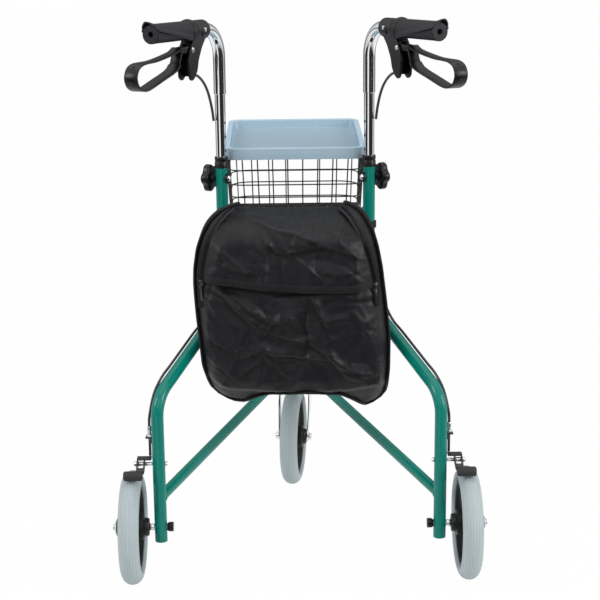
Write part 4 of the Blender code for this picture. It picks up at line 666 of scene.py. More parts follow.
    def cut(self, tools: Sequence["Form"]) -> None:
        """Cuts other forms from this one."""
        helpers = []
        for form in (self, *tools):
            ops.recalc_face_normals(form.bm, faces=form.bm.faces)
            helpers.append(linked("helper", form.mesh("helper")))
        for tool in helpers[1:]:
            modifier = helpers[0].modifiers.new("cut", "BOOLEAN")
            modifier.operation, modifier.object = "DIFFERENCE", tool
        graph = bpy.context.evaluated_depsgraph_get()
        self.bm = bmesh.new()
        self.bm.from_mesh(helpers[0].evaluated_get(graph).to_mesh())
        for helper in helpers:
            mesh = helper.data
            bpy.data.objects.remove(helper)
            bpy.data.meshes.remove(mesh)

    def take(self, other: "Form") -> None:
        """Adds another form's shape to this one, as a body of its own."""
        ops.recalc_face_normals(other.bm, faces=other.bm.faces)
        mesh = other.mesh("taken")
        self.bm.from_mesh(mesh)
        bpy.data.meshes.remove(mesh)

    def mesh(self, name: str) -> bpy.types.Mesh:
        """The form as a mesh, which ends the form."""
        mesh = bpy.data.meshes.new(name)
        self.bm.to_mesh(mesh)
        self.bm.free()
        return mesh

    def piece(
        self, name: str, body: str, finish: Finish, stands_for: str = "", sharper: float = SMOOTH_ANGLE
    ) -> bpy.types.Object:
        """Makes the form a piece of the rollator.

        Args:
            name: The piece's name, without its side.
            body: The body that it rides on, without its side.
            finish: Its finish.
            stands_for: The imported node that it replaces, without its side.
            sharper: The angle in degrees past which an edge stays sharp.

        Returns:
            The piece's object.
        """
        ops.remove_doubles(self.bm, verts=self.bm.verts, dist=SAME_PLACE)
        ops.recalc_face_normals(self.bm, faces=self.bm.faces)
        name = self.prefix + name
        node = self.prefix + stands_for if stands_for else ""
        return place_piece(name, self.mesh(name), body if body == "head" else self.prefix + body, finish, node, sharper)


def place_piece(
    name: str, data: bpy.types.ID, body: str, finish: Finish, stands_for: str = "", sharper: float = SMOOTH_ANGLE
) -> bpy.types.Object:
    """Links a mesh or curve as a piece that rides on a body, in its finish."""
    made = linked(name, data)
    data.materials.append(finish.material())
    if isinstance(data, bpy.types.Mesh):
        data.shade_smooth()
        data.set_sharp_from_angle(angle=radians(sharper))
    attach(made, body)
    if stands_for:
        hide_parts(stands_for)
    LOG.info("%s rides on %s in %s", name, body, finish.name)
    return made


def wire_curve(name: str, wires: Sequence[Wire], thickness: float, resolution: int) -> bpy.types.Curve:
    """Round wires along paths, as one curve.

    Args:
        name: The curve's name.
        wires: For each wire its points, whether it closes on itself, and its share of thickness.
        thickness: The radius of a wire whose share is 1.
        resolution: The steps in a quarter of each wire's section, beyond the first.

    Returns:
        The curve.
    """
    curve = bpy.data.curves.new(name, "CURVE")
    curve.dimensions = "3D"
    curve.bevel_depth = thickness
    curve.bevel_resolution = resolution
    curve.use_fill_caps = True
    for points, ring, share in wires:
        spline = curve.splines.new("POLY")
        spline.points.add(len(points) - 1)
        for slot, point in zip(spline.points, points):
            slot.co = (*point, 1.0)
            slot.radius = share
        spline.use_cyclic_u = ring
    return curve


def as_mesh(curve: bpy.types.Curve) -> bpy.types.Mesh:
    """A curve turned into a mesh of its name."""
    name, helper = curve.name, linked("helper", curve)
    mesh = bpy.data.meshes.new_from_object(helper.evaluated_get(bpy.context.evaluated_depsgraph_get()))
    bpy.data.objects.remove(helper)
    bpy.data.curves.remove(curve)
    mesh.name = name
    return mesh


@dataclass(frozen=True)
class Dressing:
    """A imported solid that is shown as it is, with soft edges."""

    node: str
    name: str
    body: str
    finish: Finish
    soft: float
    steps: int = 2
    sharper: float = 45.0
    smooth: float = SMOOTH_ANGLE

    def build(self, owner: str = "") -> None:
        """Takes in the solid, rounds its edges and gives it its finish."""
        form = Form(owner).solid_of(self.node).soften(self.soft, self.steps, self.sharper)
        form.piece(self.name, self.body, self.finish, self.node, self.smooth)


SINGLE = (
    Dressing("lower_hinge_plate", "lower_hinge_plate_welded", "head", GREEN, 0.0007),
    Dressing("upper_hinge_plate", "upper_hinge_plate_welded", "head", GREEN, 0.0007),
    Dressing("head_cap", "steering_cap", "head", PLASTIC, 0.0010, 3, 20, 60),
    Dressing("lower_castor_bearing", "lower_castor_bearing_race", "head", ZINC, 0.0004),
    Dressing("upper_castor_bearing", "upper_castor_bearing_race", "head", ZINC, 0.0004),
    Dressing("castor_stem", "castor_stem_bolt", "castor", ZINC, 0.0006),
    Dressing("front_axle", "front_axle_bolt", "castor", ZINC, 0.0005),
)
TWINS = (
    Dressing("hinge_pin", "hinge_bolt", "head", ZINC, 0.0008, 3),
    Dressing("brake_arm", "brake_pressing", "brake", STEEL, 0.0006, 2, 40),
    Dressing("cable_stop", "cable_tab", "frame", STEEL, 0.0006, 2, 40),
    Dressing("brake_bolt", "brake_screw", "frame", ZINC, 0.0005, 2, 50, 50),
    Dressing("axle", "axle_bolt", "frame", ZINC, 0.0005, 2, 50, 50),
    Dressing("axle_knob", "axle_cap", "frame", PLASTIC, 0.0006, 2, 50, 50),
    Dressing("stay_link", "stay_strip", "stay", STEEL, 0.0005),
)


# Layout


@dataclass(frozen=True)
class Layout:
    """Where the rollator's axes lie, in metres, and the sizes that its parts share."""

    head_y: float
    axle_y: float
    splay: float = radians(25.0)
    half_gap: float = 0.020
    to_upright: float = 0.272
    to_leg: float = 0.485 / cos(radians(25.0))
    head_ahead: float = 0.035
    head_ends: Pair = (0.218, 0.562)
    wheel_radius: float = 0.100
    wheel_out: float = 0.049
    castor_turn: float = radians(-8.0)
    castor_trail: float = 0.050
    frame_top: float = 0.701
    tube_radius: float = 0.011
    arm_radius: float = 0.0095
    arm_ends: Pair = (0.620, 0.520)
    lower_bend: float = 0.336
    upper_bend: float = 0.446
    knob_z: float = 0.682
    rim_z: float = 0.7139
    tilt: float = radians(5.0)

    @classmethod
    def of_frame(cls) -> "Layout":
        """The layout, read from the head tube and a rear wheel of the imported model."""
        head_low, head_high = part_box("head_tube")
        hub_low, hub_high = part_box("left_hub")
        return cls((head_low.y + head_high.y) / 2, (hub_low.y + hub_high.y) / 2)

    @property
    def hinge_y(self) -> float:
        """The Y of both hinge posts."""
        return self.head_y - self.head_ahead

    @property
    def castor_place(self) -> Matrix:
        """The castor's own axes: Y ahead of its stem."""
        return shift(0, self.head_y, 0) @ turned(self.castor_turn, "Z")

    def side_place(self, side: Side) -> Matrix:
        """A side frame's own axes: X back along it, from its hinge."""
        back = atan2(-cos(self.splay), side.value * sin(self.splay))
        return shift(side.value * self.half_gap, self.hinge_y, 0) @ turned(back, "Z")

    def leg_x(self, side: Side) -> float:
        """The X of a leg's axis."""
        return side.value * (self.half_gap + self.to_leg * sin(self.splay))


@dataclass
class Twin:
    """A part that comes once on each side."""

    layout: Layout
    side: Side

    @property
    def place(self) -> Matrix:
        """The side frame's own axes."""
        return self.layout.side_place(self.side)

    @property
    def across(self) -> Vector:
        """The way across the side frame."""
        return self.place.to_3x3() @ Vector((0, 1, 0))

    @property
    def upright(self) -> Matrix:
        """The side frame's axes, moved back to its upright."""
        return self.place @ shift(self.layout.to_upright, 0, 0)

    def form(self) -> Form:
        """An empty form for one of this side's pieces."""
        return Form(self.side.word)


# Side frames


@dataclass
class SideFrame(Twin):
    """One side: the bent main tube, the sloping arm, the brace and the hinge post, welded together."""

    tube_wall: float = 0.0012
    bend_radius: float = 0.055
    leg_bottom: float = 0.074
    open_depth: float = 0.014
    brace_ends: Pair = (0.154, 0.240)
    post_ends: Pair = (0.2279, 0.5426)
    post_bore: float = 0.0057
    chamfer: float = 0.001
    sides: int = 32

    def build(self) -> None:
        """Makes the tubes and their welds."""
        self.make_main_tube()
        upright, leg = self.layout.to_upright, self.layout.to_leg
        for node, reach, (high, low) in (
            ("upper_arm", upright, self.layout.arm_ends), ("brace", leg, self.brace_ends),
        ):
            self.make_bar(node, (reach, high), (0.0, low))
        self.make_post()

    def make_main_tube(self) -> None:
        """The leg, sloping run and upright as one bent tube with an open lower end."""
        layout = self.layout
        upright, leg = layout.to_upright, layout.to_leg
        corners = [
            (leg, 0, self.leg_bottom), (leg, 0, layout.lower_bend), (upright, 0, layout.upper_bend),
            (upright, 0, layout.frame_top),
        ]
        path = [self.place @ point for point in rounded(corners, self.bend_radius, 14)]
        form = self.form()
        form.sweep(places_along(path, self.across), circle(layout.tube_radius, self.sides))
        foot = min(form.bm.faces, key=lambda face: face.calc_center_median().z)
        ops.inset_region(form.bm, faces=[foot], thickness=self.tube_wall)
        form.pull([foot], (0, 0, self.open_depth), False)
        ops.delete(form.bm, geom=[foot], context="FACES")
        form.piece("side_tube", "frame", GREEN, "main_tube")

    def make_bar(self, node: str, start: Pair, end: Pair) -> None:
        """A straight tube between two upright ones, coped and welded at both ends."""
        ends = [self.place @ Vector((r, 0, z)) for r, z in (start, end)]
        bar = self.form()
        bar.sweep(places_along(ends, self.across), circle(self.layout.arm_radius, self.sides))
        copes = []
        for point in ends:
            copes.append(Form())
            copes[-1].spin(rod(self.layout.tube_radius - 0.0003, -0.04, 0.04), 48, shift(point))
        bar.cut(copes)
        for near, far in ((start, end), (end, start)):
            self.add_weld(bar, near, far)
        bar.piece(f"{node}_tube", "frame", GREEN, node)

    def add_weld(self, form: Form, near: Pair, far: Pair) -> None:
        """The bead of weld where a bar meets an upright tube."""
        along = Vector((far[0] - near[0], far[1] - near[1])).normalized()
        points, scales, steps = [], [], 72
        for i, turn in enumerate(turns(steps)):
            n, lean = self.layout.arm_radius * cos(turn), self.layout.arm_radius * sin(turn)
            reach = copysign(sqrt(self.layout.tube_radius**2 - n**2), along.x)
            run = (reach + lean * along.y) / along.x
            local = (near[0] + run * along.x - lean * along.y, n, near[1] + run * along.y + lean * along.x)
            points.append(self.place @ Vector(local))
            scales.append((1.0 + 0.16 * sin(i * pi / 2 + 0.4),) * 2)
        centre = sum(points, Vector()) / steps
        outward = [(point - centre).normalized() for point in points]
        form.sweep(places_along(points, outward, ring=True), circle(0.0019, 8), ring=True, scales=scales)

    def make_post(self) -> None:
        """The hinge post's tube, with its two ends chamfered."""
        form = self.form()
        form.spin(tube(self.post_bore, self.layout.tube_radius, self.post_ends, self.chamfer), self.sides, self.place)
        form.piece("post_tube", "frame", GREEN, "hinge_post")


# Steering head and castor


@dataclass
class Head:
    """The head tube with the welds of its plates."""

    layout: Layout
    radius: float = 0.015
    bore: float = 0.0125
    chamfer: float = 0.0008
    plates: Pair = (0.2250, 0.5455)
    plate_half: float = 0.0025

    def build(self) -> None:
        """Makes the tube and its four beads of weld."""
        form = Form()
        y = self.layout.head_y
        form.spin(tube(self.bore, self.radius, self.layout.head_ends, self.chamfer), 40, shift(0, y, 0))
        for z in self.plates:
            for level in (z - self.plate_half, z + self.plate_half):
                ring = [Vector((cos(t) * self.radius, y + sin(t) * self.radius, level)) for t in turns(48)]
                form.sweep(places_along(ring, UP, ring=True), circle(0.0016, 8), ring=True)
        form.piece("steering_tube", "head", GREEN, "head_tube")


@dataclass
class Castor:
    """The chromed fork of two tapered strips under a flat crown."""

    layout: Layout
    thickness: float = 0.003
    half_gap: float = 0.0300
    bulge: float = 0.0015
    crown_z: float = 0.2085
    crown_ahead: float = -0.006
    crown_width: float = 0.044
    crown_radius: float = 0.012
    foot_width: float = 0.022
    foot_below_axle: float = 0.011
    step: float = 0.006

    def build(self) -> None:
        """Makes the fork."""
        place, trail = self.layout.castor_place, self.layout.castor_trail
        half, axle_z = self.half_gap, self.layout.wheel_radius
        half_fork = [
            (half, 0, self.crown_z), (half + self.bulge, 0, axle_z * 1.7),
            (half - 0.001, 0, axle_z - self.foot_below_axle),
        ]
        flat = rounded([(-x, y, z) for x, y, z in reversed(half_fork)] + half_fork, self.crown_radius, 10)
        fine: list[Vector] = []
        for a, b in pairwise(flat):
            steps = max(1, round((b - a).length / self.step))
            fine += [a.lerp(b, i / steps) for i in range(steps)]
        fine.append(flat[-1])
        places, scales = [], []
        for matrix, point in zip(places_along(fine, Vector((0, 1, 0))), fine):
            drop = held((self.crown_z - point.z) / (self.crown_z - axle_z))
            ahead = self.crown_ahead + (-self.crown_ahead - trail) * drop
            matrix.translation = point + Vector((0, ahead, 0))
            places.append(place @ matrix)
            foot = max(0.0, (axle_z - point.z) / (self.foot_below_axle + 0.0008))
            width = self.crown_width + (self.foot_width - self.crown_width) * eased(drop)
            scales.append((width / self.crown_width * max(0.25, sqrt(max(0.0, 1 - foot**2))), 1.0))
        form = Form()
        form.sweep(places, strip(self.crown_width, self.thickness, 0.0009), scales=scales)
        for side in (-1, 1):
            boss = place @ shift(side * (half + 0.0016), -trail, axle_z) @ turned(side * pi / 2, "Y")
            form.spin(mm((4.5, 0), (9.2, 0), (8.8, 1.0), (4.5, 1.0)), 32, boss)
        form.piece("castor_fork_strips", "castor", CHROME, "castor_fork", 50)


# Wheels


@dataclass
class Wheel:
    """A solid grey tyre on a black moulded hub with six open spokes."""

    layout: Layout
    name: str
    place: Matrix
    hub_half: float = 0.0285
    tyre_half: float = 0.018
    ribs: int = 11
    rib_depth: float = 0.00055
    rib_steps: int = 6
    lip_half: float = 0.0130
    rim_radius: float = 0.0790
    rim_wall: float = 0.0050
    rim_half: float = 0.0125
    web_half: float = 0.0036
    spokes: int = 6
    spoke_width: float = 0.013
    cone_radius: float = 0.0235
    cone_half: float = 0.0200
    flange_radius: float = 0.0155
    bore: float = 0.0046
    steps: int = 96

    def build(self) -> None:
        """Makes the tyre and the hub."""
        self.make_tyre()
        self.make_hub()

    def make_tyre(self) -> None:
        """The tyre: a round section with fine ribs round its tread and a lip at each side of the rim."""
        core = self.layout.wheel_radius - self.tyre_half
        points, grooves = [], []
        count = self.ribs * self.rib_steps
        for i in range(count + 1):
            turn = pi * i / count
            tread = eased(sin(turn) * 2.2 - 0.9)
            grooves.append(max(0.0, cos(i / self.rib_steps * tau)) ** 3 * tread)
            radius = self.tyre_half - self.rib_depth * grooves[-1]
            points.append((core + radius * sin(turn), -radius * cos(turn)))
        seat, lip, bulge = self.rim_radius + 0.0003, self.lip_half, self.lip_half + 0.0028
        profile = [(seat, -lip), (seat + 0.0012, -bulge), *points, (seat + 0.0012, bulge), (seat, lip)]
        form = Form(self.name)
        groove = form.layer("groove")
        by_profile = {(round(r, 5), round(h, 5)): depth for (r, h), depth in zip(points, grooves)}
        for vert in form.spin(profile, self.steps):
            key = (round(hypot(vert.co.x, vert.co.y), 5), round(vert.co.z, 5))
            vert[groove] = by_profile.get(key, 0.0)
        form.move(self.place)
        form.piece("ribbed_tyre", "wheel", TYRE, "tyre", 60)

    def hub_profile(self) -> list[Pair]:
        """The section of the rim, the web and the stepped hub."""
        rim, wall, web, cone, flange = (
            self.rim_radius, self.rim_radius - self.rim_wall, self.web_half, self.cone_radius, self.flange_radius,
        )
        half = [
            (rim, self.rim_half - 0.0006), (rim - self.rim_wall * 0.4, self.rim_half),
            (wall, self.rim_half - 0.0012), (wall - 0.0012, web + 0.002), (wall - 0.004, web),
            (cone + 0.003, web), (cone, web + 0.003), (cone - 0.0012, self.cone_half - 0.0008),
            (cone - 0.0022, self.cone_half), (flange + 0.0008, self.cone_half + 0.0012),
            (flange, self.hub_half - 0.0008), (flange - 0.0008, self.hub_half), (0.0085, self.hub_half),
            (0.0080, self.hub_half - 0.0015), (self.bore, self.hub_half - 0.0015),
        ]
        return half + [(radius, -height) for radius, height in reversed(half)]

    def window(self, middle: float, inner: float, outer: float) -> Form:
        """The tool that opens the web between two spokes."""
        corners = []
        for radius, count, order in ((inner, 2, 1), (outer, 9, -1)):
            reach = pi / self.spokes - asin(self.spoke_width / 2 / radius)
            arc = [middle + reach * (2 * k / (count - 1) - 1) for k in range(count)]
            corners += [(radius * cos(t), radius * sin(t), -0.02) for t in arc][::order]
        tool = Form()
        tool.slab(corners, (0, 0, 0.04))
        upright = [
            e for e in tool.bm.edges if abs(e.verts[0].co.z - e.verts[1].co.z) > 0.03 and e.calc_face_angle() > 0.6
        ]
        tool.bevel(upright, 0.005, 4)
        return tool

    def make_hub(self) -> None:
        """The rim, the web cut into spokes with a rib on each, and the stepped hub."""
        form = Form(self.name)
        form.spin(self.hub_profile(), self.steps)
        inner, outer = self.cone_radius + 0.006, self.rim_radius - self.rim_wall - 0.005
        middles = [tau * (i + 0.5) / self.spokes for i in range(self.spokes)]
        form.cut([self.window(middle, inner, outer) for middle in middles])
        reach = outer + 0.003 - self.cone_radius + 0.002
        for turn in turns(self.spokes):
            for level in (-1, 1):
                local = shift(self.cone_radius - 0.001 + reach / 2, 0, level * (self.web_half + 0.0018))
                form.block((reach, 0.0032, 0.0040), turned(turn, "Z") @ local, 0.0009)
        form.move(self.place)
        form.piece("spoked_hub", "wheel", HUB_PLASTIC, "hub")


def build_wheels(layout: Layout) -> None:
    """Makes the two rear wheels and the castor's."""
    on_edge = turned(pi / 2, "Y")
    for side in Side:
        x = layout.leg_x(side) + side.value * layout.wheel_out
        Wheel(layout, side.word, shift(x, layout.axle_y, layout.wheel_radius) @ on_edge).build()
    place = layout.castor_place @ shift(0, -layout.castor_trail, layout.wheel_radius) @ on_edge
    Wheel(layout, "front", place, hub_half=0.0265).build()


# Brakes


@dataclass
class Brake(Twin):
    """The brake's round shoe and the end of its cable."""

    shoe_radius: float = 0.0085
    shoe_length: float = 0.033
    shoe_edge: float = 0.0034
    shoe_gap: float = 0.003
    shoe_angle: float = radians(16.0)
    shoe_inside_wheel: float = 0.0065
    cable_out: float = 0.0150
    cable_forward: float = 0.0080
    stop_z: float = 0.266

    def build(self) -> None:
        """Makes the shoe and the cable's end."""
        self.make_shoe()
        self.make_cable_end()

    def beside_leg(self, out: float) -> float:
        """The X at a distance outside the leg's axis."""
        return self.layout.leg_x(self.side) + self.side.value * out

    def make_shoe(self) -> None:
        """The round brake shoe with softened ends."""
        half, radius, soft = self.shoe_length / 2, self.shoe_radius, self.shoe_edge
        arc = [(radius - soft + soft * sin(t), half - soft + soft * cos(t)) for t in (pi / 2 * i / 5 for i in range(6))]
        profile = [(0, half), *arc, *[(r, -h) for r, h in reversed(arc)], (0, -half)]
        reach = self.layout.wheel_radius + self.shoe_gap + radius
        y = self.layout.axle_y - reach * sin(self.shoe_angle)
        z = self.layout.wheel_radius + reach * cos(self.shoe_angle)
        x = self.beside_leg(self.layout.wheel_out - self.shoe_inside_wheel)
        form = self.form()
        form.spin(profile, 36, shift(x, y, z) @ turned(pi / 2, "Y"))
        form.piece("knurled_shoe", "brake", SHOE, "brake_shoe", 50)

    def make_cable_end(self) -> None:
        """The bright adjuster that stands in the stop, round the cable, and its lock nut."""
        place = shift(self.beside_leg(self.cable_out), self.layout.axle_y + self.cable_forward, self.stop_z)
        form = self.form()
        barrel = mm((2.7, -4.5), (3.4, -4.5), (3.4, 9), (4, 10), (4, 17), (3.2, 18.5), (2.7, 18.5))
        form.spin(barrel, 24, place)
        form.spin(mm((3.4, 0.4), (5.6, 0.4), (5.6, 3.2), (3.4, 3.2)), 6, place)
        form.piece("cable_adjuster", "frame", ZINC, sharper=30.0)


# Clamp and handle


@dataclass
class Clamp(Twin):
    """The two-step collar, the star knob and the bolt head in its cup."""

    tube_radius: float = 0.0113
    collar_radius: float = 0.0123
    collar_height: float = 0.021
    stem_radius: float = 0.0099
    knob_radius: float = 0.0255
    knob_lobes: int = 5
    lobe_depth: float = 0.0045
    knob_thickness: float = 0.014
    knob_edge: float = 0.0036
    neck_length: float = 0.006

    @property
    def out(self) -> Matrix:
        """The place of the clamp's bolt: Z outwards along it."""
        return self.upright @ shift(0, 0, self.layout.knob_z) @ turned(-self.side.value * pi / 2, "X")

    def build(self) -> None:
        """Makes the clamp's pieces."""
        self.make_collar()
        self.make_knob()
        self.make_bolt_head()

    def make_collar(self) -> None:
        """The black collar in two steps, each with a soft edge."""
        r, h, top, bore = self.collar_radius, self.collar_height, self.layout.frame_top, self.stem_radius
        waist = r * 0.955
        profile = [
            (bore, top + 0.0003), (r - 0.0006, top + 0.0003), (r, top + 0.0010), (r, top + h * 0.50),
            (r - 0.0005, top + h * 0.55), (waist, top + h * 0.58), (waist, top + h * 0.68), (r, top + h * 0.72),
            (r, top + h * 0.93), (r - 0.0010, top + h), (bore, top + h),
        ]
        form = self.form()
        form.spin(profile, 48, self.upright)
        form.piece("stepped_collar", "frame", PLASTIC, "collar")

    def make_knob(self) -> None:
        """The star knob: a lobed disc with a dished face, a neck and a steel screw."""
        base = self.tube_radius + 0.0004
        start = base + self.neck_length
        end = start + self.knob_thickness
        form = self.form()
        for vert in ops.create_circle(form.bm, cap_ends=True, segments=100, radius=self.knob_radius)["verts"]:
            lobe = 0.5 - 0.5 * cos(self.knob_lobes * atan2(vert.co.y, vert.co.x))
            vert.co *= (self.knob_radius - self.lobe_depth * lobe**1.4) / self.knob_radius
        form.pull(list(form.bm.faces), (0, 0, self.knob_thickness))
        ops.recalc_face_normals(form.bm, faces=form.bm.faces)
        rims = [e for e in form.bm.edges if e.is_manifold and e.calc_face_angle() > radians(60)]
        form.bevel(rims, self.knob_edge, 4)
        face = max(form.bm.faces, key=lambda f: f.calc_center_median().z + f.calc_area())
        for width, depth in mm((2.8, 0.3), (3.0, 1.8)):
            ops.inset_region(form.bm, faces=[face], thickness=width, depth=-depth)
        form.move(self.out @ shift(0, 0, start))
        neck = [
            (0, base), (0.0078, base), (0.0082, base + 0.0006), (0.0082, base + 0.003), (0.0100, base + 0.0045),
            (0.0104, start + 0.003), (0, start + 0.003),
        ]
        boss = [
            (0, start + 0.008), (0.0090, start + 0.008), (0.0088, end - 0.0006), (0.0070, end + 0.0004),
            (0, end + 0.0006),
        ]
        for profile in (neck, boss):
            form.spin(profile, 32, self.out)
        form.piece("lobed_knob", "knob", PLASTIC, "star_knob", 45)

    def make_bolt_head(self) -> None:
        """The black cup on the inner side and the bright domed bolt head in it."""
        inward = self.out @ turned(pi, "X") @ shift(0, 0, self.tube_radius)
        cup = self.form()
        rim = mm((0, -0.6), (8.6, -0.6), (9.3, 0.2), (9.3, 3.2), (8.6, 4), (7.2, 4), (6.6, 2.4), (0, 2.4))
        cup.spin(rim, 40, inward)
        cup.piece("bolt_cup", "frame", PLASTIC, "clamp_bolt")
        dome = self.form()
        arc = [(0.0061 * cos(t), 0.0024 + 0.0052 * sin(t)) for t in turns(8, pi / 2)]
        dome.spin([(0, 0.0020), (0.0061, 0.0020), *arc, (0, 0.0076)], 32, inward)
        dome.piece("bolt_dome", "frame", CHROME, sharper=60.0)


@dataclass
class Handle(Twin):
    """The chromed stem with its holes, the moulded grip, the lever's housing and the lever.

    Places on it are given as (back, up): back from the upright's axis along the side frame, and up from the ground.
    """

    stem_radius: float = 0.011
    lower_radius: float = 0.0095
    stem_bottom: float = 0.600
    stem_end: float = 0.225
    step_z: float = 0.835
    handle_z: float = 0.953
    bend_radius: float = 0.052
    bore: float = 0.0118
    grip_start: float = 0.1060
    grip_end: float = 0.2410
    hole_pitch: float = 0.0254
    hole_radius: float = 0.0030
    grip_radius: float = 0.0152
    palm_radius: float = 0.0172
    tip_radius: float = 0.0235
    tip_length: float = 0.016
    wing_rise: float = 0.0052
    collar_radius: float = 0.0200
    collar_length: float = 0.016
    clamp_bore: float = 0.0114
    clamp_start: float = 0.0620
    clamp_radius: float = 0.0172
    clamp_screw_at: float = 0.084
    housing_half: float = 0.0125
    slot_half: float = 0.0085
    slot_corners: tuple[Pair, ...] = ((0.1115, 0.850), (0.165, 0.931))
    pivot: Pair = (0.121, 0.9215)
    housing_outline: tuple[Pair, ...] = mm(
        (64, 953), (72, 938), (86, 923), (98, 903), (103, 886), (112, 874), (122, 868), (131, 873), (134, 900),
        (128, 922), (104, 953),
    )
    lever_loop: tuple[Pair, ...] = mm(
        (152, 926), (173, 919), (233, 910.5), (268, 909), (286, 907.5), (300.5, 901.5), (307.5, 888.5), (302.5, 875),
        (288, 867), (268, 866.5), (225, 877), (182, 888), (166, 896), (158, 908),
    )
    lever_half: float = 0.0125
    lever_band: float = 0.003
    tang_half: float = 0.0080

    def build(self) -> None:
        """Makes the handle's pieces."""
        self.bar = self.upright @ shift(0, 0, self.handle_z) @ turned(pi / 2, "Y")
        self.make_stem()
        self.make_grip()
        self.make_palm_rest()
        self.make_housing()
        self.make_screws()
        self.make_lever()

    def at(self, back: float, out: float, up: float) -> Vector:
        """A place on the handle, from its distances back, across and up."""
        return self.upright @ Vector((back, out, up))

    def make_stem(self) -> None:
        """The stem: a narrower lower tube with height holes, a step, and the bend into the handlebar."""
        corners = [(0, 0, self.stem_bottom), (0, 0, self.handle_z), (self.stem_end, 0, self.handle_z)]
        path = rounded(corners, self.bend_radius, 16)
        levels = [self.step_z + rise for rise in mm(-2.0, -0.8, -0.4, 0.6, 1.0, 2.6)]
        levels.append(self.handle_z - self.bend_radius - 0.0015)
        path[1:1] = [Vector((0, 0, level)) for level in levels]
        thin = self.lower_radius / self.stem_radius
        scales = [(thin, thin)] * 4 + [(1.0, 1.0)] * (len(path) - 4)
        form = self.form()
        form.sweep(places_along([self.at(*p) for p in path], self.across), circle(self.stem_radius, 40), scales=scales)
        holes = []
        for i in range(-2, 5):
            level = self.layout.knob_z + self.hole_pitch * i
            holes.append(Form())
            holes[-1].spin(
                rod(self.hole_radius, -0.02, 0.02), 20, self.upright @ shift(0, 0, level) @ turned(pi / 2, "X")
            )
        form.cut(holes)
        form.piece("stem_tube", "handle", CHROME, "handle_stem")
        # A dark rod inside the lower stem: painted shade seen through the height holes.
        shadow_core = self.form()
        core = rod(self.lower_radius - 0.0012, self.stem_bottom + 0.002, self.step_z - 0.01)
        shadow_core.spin(core, 24, self.upright)
        shadow_core.piece("stem_shadow", "handle", CABLE)

    def make_grip(self) -> None:
        """The barrel of the grip with its swelled collar and the round hole in its end."""
        r, swell, start, end = self.grip_radius, self.collar_radius - self.grip_radius, self.grip_start, self.grip_end
        profile = [
            (self.bore, start), (r - 0.0006, start),
            *[(r + swell * sin(pi * k / 12) ** 0.6, start + 0.0006 + self.collar_length * k / 12) for k in range(13)],
            *[(r, start + (end - start) * k / 20) for k in range(4, 19)],
            (r + 0.0004, end - 0.004), (r + 0.0003, end - 0.0012), (r - 0.0010, end), (0.0052, end),
            (0.0042, end - 0.0010), (0.0038, end - 0.006), (self.bore, end - 0.006),
        ]
        form = self.form()
        ribs = form.layer("ribs")
        form.spin(profile, 64)
        for vert in form.bm.verts:
            share = (vert.co.z - start) / (end - start)
            vert[ribs] = 0.5 + 0.5 * cos(vert.co.z / 0.0045 * tau) if 0.2 < share < 0.95 else 0.0
        form.move(self.bar)
        form.piece("grip_barrel", "handle", GRIP, "grip", 42)

    def make_palm_rest(self) -> None:
        """The palm rest: a thick skin over the top and inner side, cut on the slant, with a raised tip."""
        form = self.form()
        ops.create_grid(form.bm, x_segments=60, y_segments=44, size=0.5)
        start = self.grip_start + self.collar_length + 0.001
        length = self.grip_end + 0.0006 - start
        low = radians(-78)
        for vert in form.bm.verts:
            share, across = vert.co.x + 0.5, vert.co.y + 0.5
            turn = low + (radians(138 - 66 * share) - low) * across
            edge = 12 * min(across, 1 - across)
            radius = self.grip_radius + (self.palm_radius - self.grip_radius) * (0.55 + 0.45 * eased(edge))
            tip = eased(1 - (1 - share) * length / self.tip_length)
            away = abs(turn - radians(-27)) / radians(34)
            radius += (self.tip_radius - self.palm_radius) * tip * max(0.0, 1 - away) ** 0.7
            radius += self.wing_rise * eased((across - 0.84) / 0.16) * (1 - 0.45 * share)
            out = -self.side.value * radius * sin(turn)
            vert.co = self.at(start + length * share, out, self.handle_z + radius * cos(turn))
        ops.recalc_face_normals(form.bm, faces=form.bm.faces)
        axis = self.at((start + self.grip_end) / 2, 0, self.handle_z)
        face = form.bm.faces[:][len(form.bm.faces) // 2]
        if face.normal.dot(face.calc_center_median() - axis) < 0:
            ops.reverse_faces(form.bm, faces=form.bm.faces)
        ops.solidify(form.bm, geom=form.bm.faces[:], thickness=0.0021)
        form.piece("palm_rest", "handle", GRIP, sharper=55.0)

    def make_housing(self) -> None:
        """The lever's housing: a slotted body with a clamp round the bar and an ear for its screw."""
        half = self.across * self.housing_half
        body = self.form()
        body.slab([self.at(s, 0, z) - half for s, z in self.housing_outline], half * 2)
        ops.recalc_face_normals(body.bm, faces=body.bm.faces)
        wide = [e for e in body.bm.edges if abs((e.verts[0].co - e.verts[1].co).normalized().dot(self.across)) > 0.9]
        body.bevel(wide, 0.004, 3)
        body.soften(0.0028, 3, 60)
        slot = Form()
        (s0, z0), (s1, z1) = self.slot_corners
        low, high = Vector((s0, -self.slot_half, z0)), Vector((s1, self.slot_half, z1))
        slot.block(high - low, self.upright @ shift((low + high) / 2))
        body.cut([slot])
        bore, r, start, end = self.clamp_bore, self.clamp_radius, self.clamp_start, self.grip_start - 0.0006
        clamp = [
            (bore, start), (r - 0.0012, start), (r, start + 0.0014), (r, end - 0.001), (r - 0.001, end), (bore, end),
        ]
        body.spin(clamp, 48, self.bar)
        ear = self.upright @ shift(self.clamp_screw_at, -self.side.value * 0.0135, self.handle_z - 0.003)
        body.block(mm(17, 10, 14), ear, 0.003, 3)
        body.piece("lever_housing", "handle", PLASTIC, "brake_housing", 40)

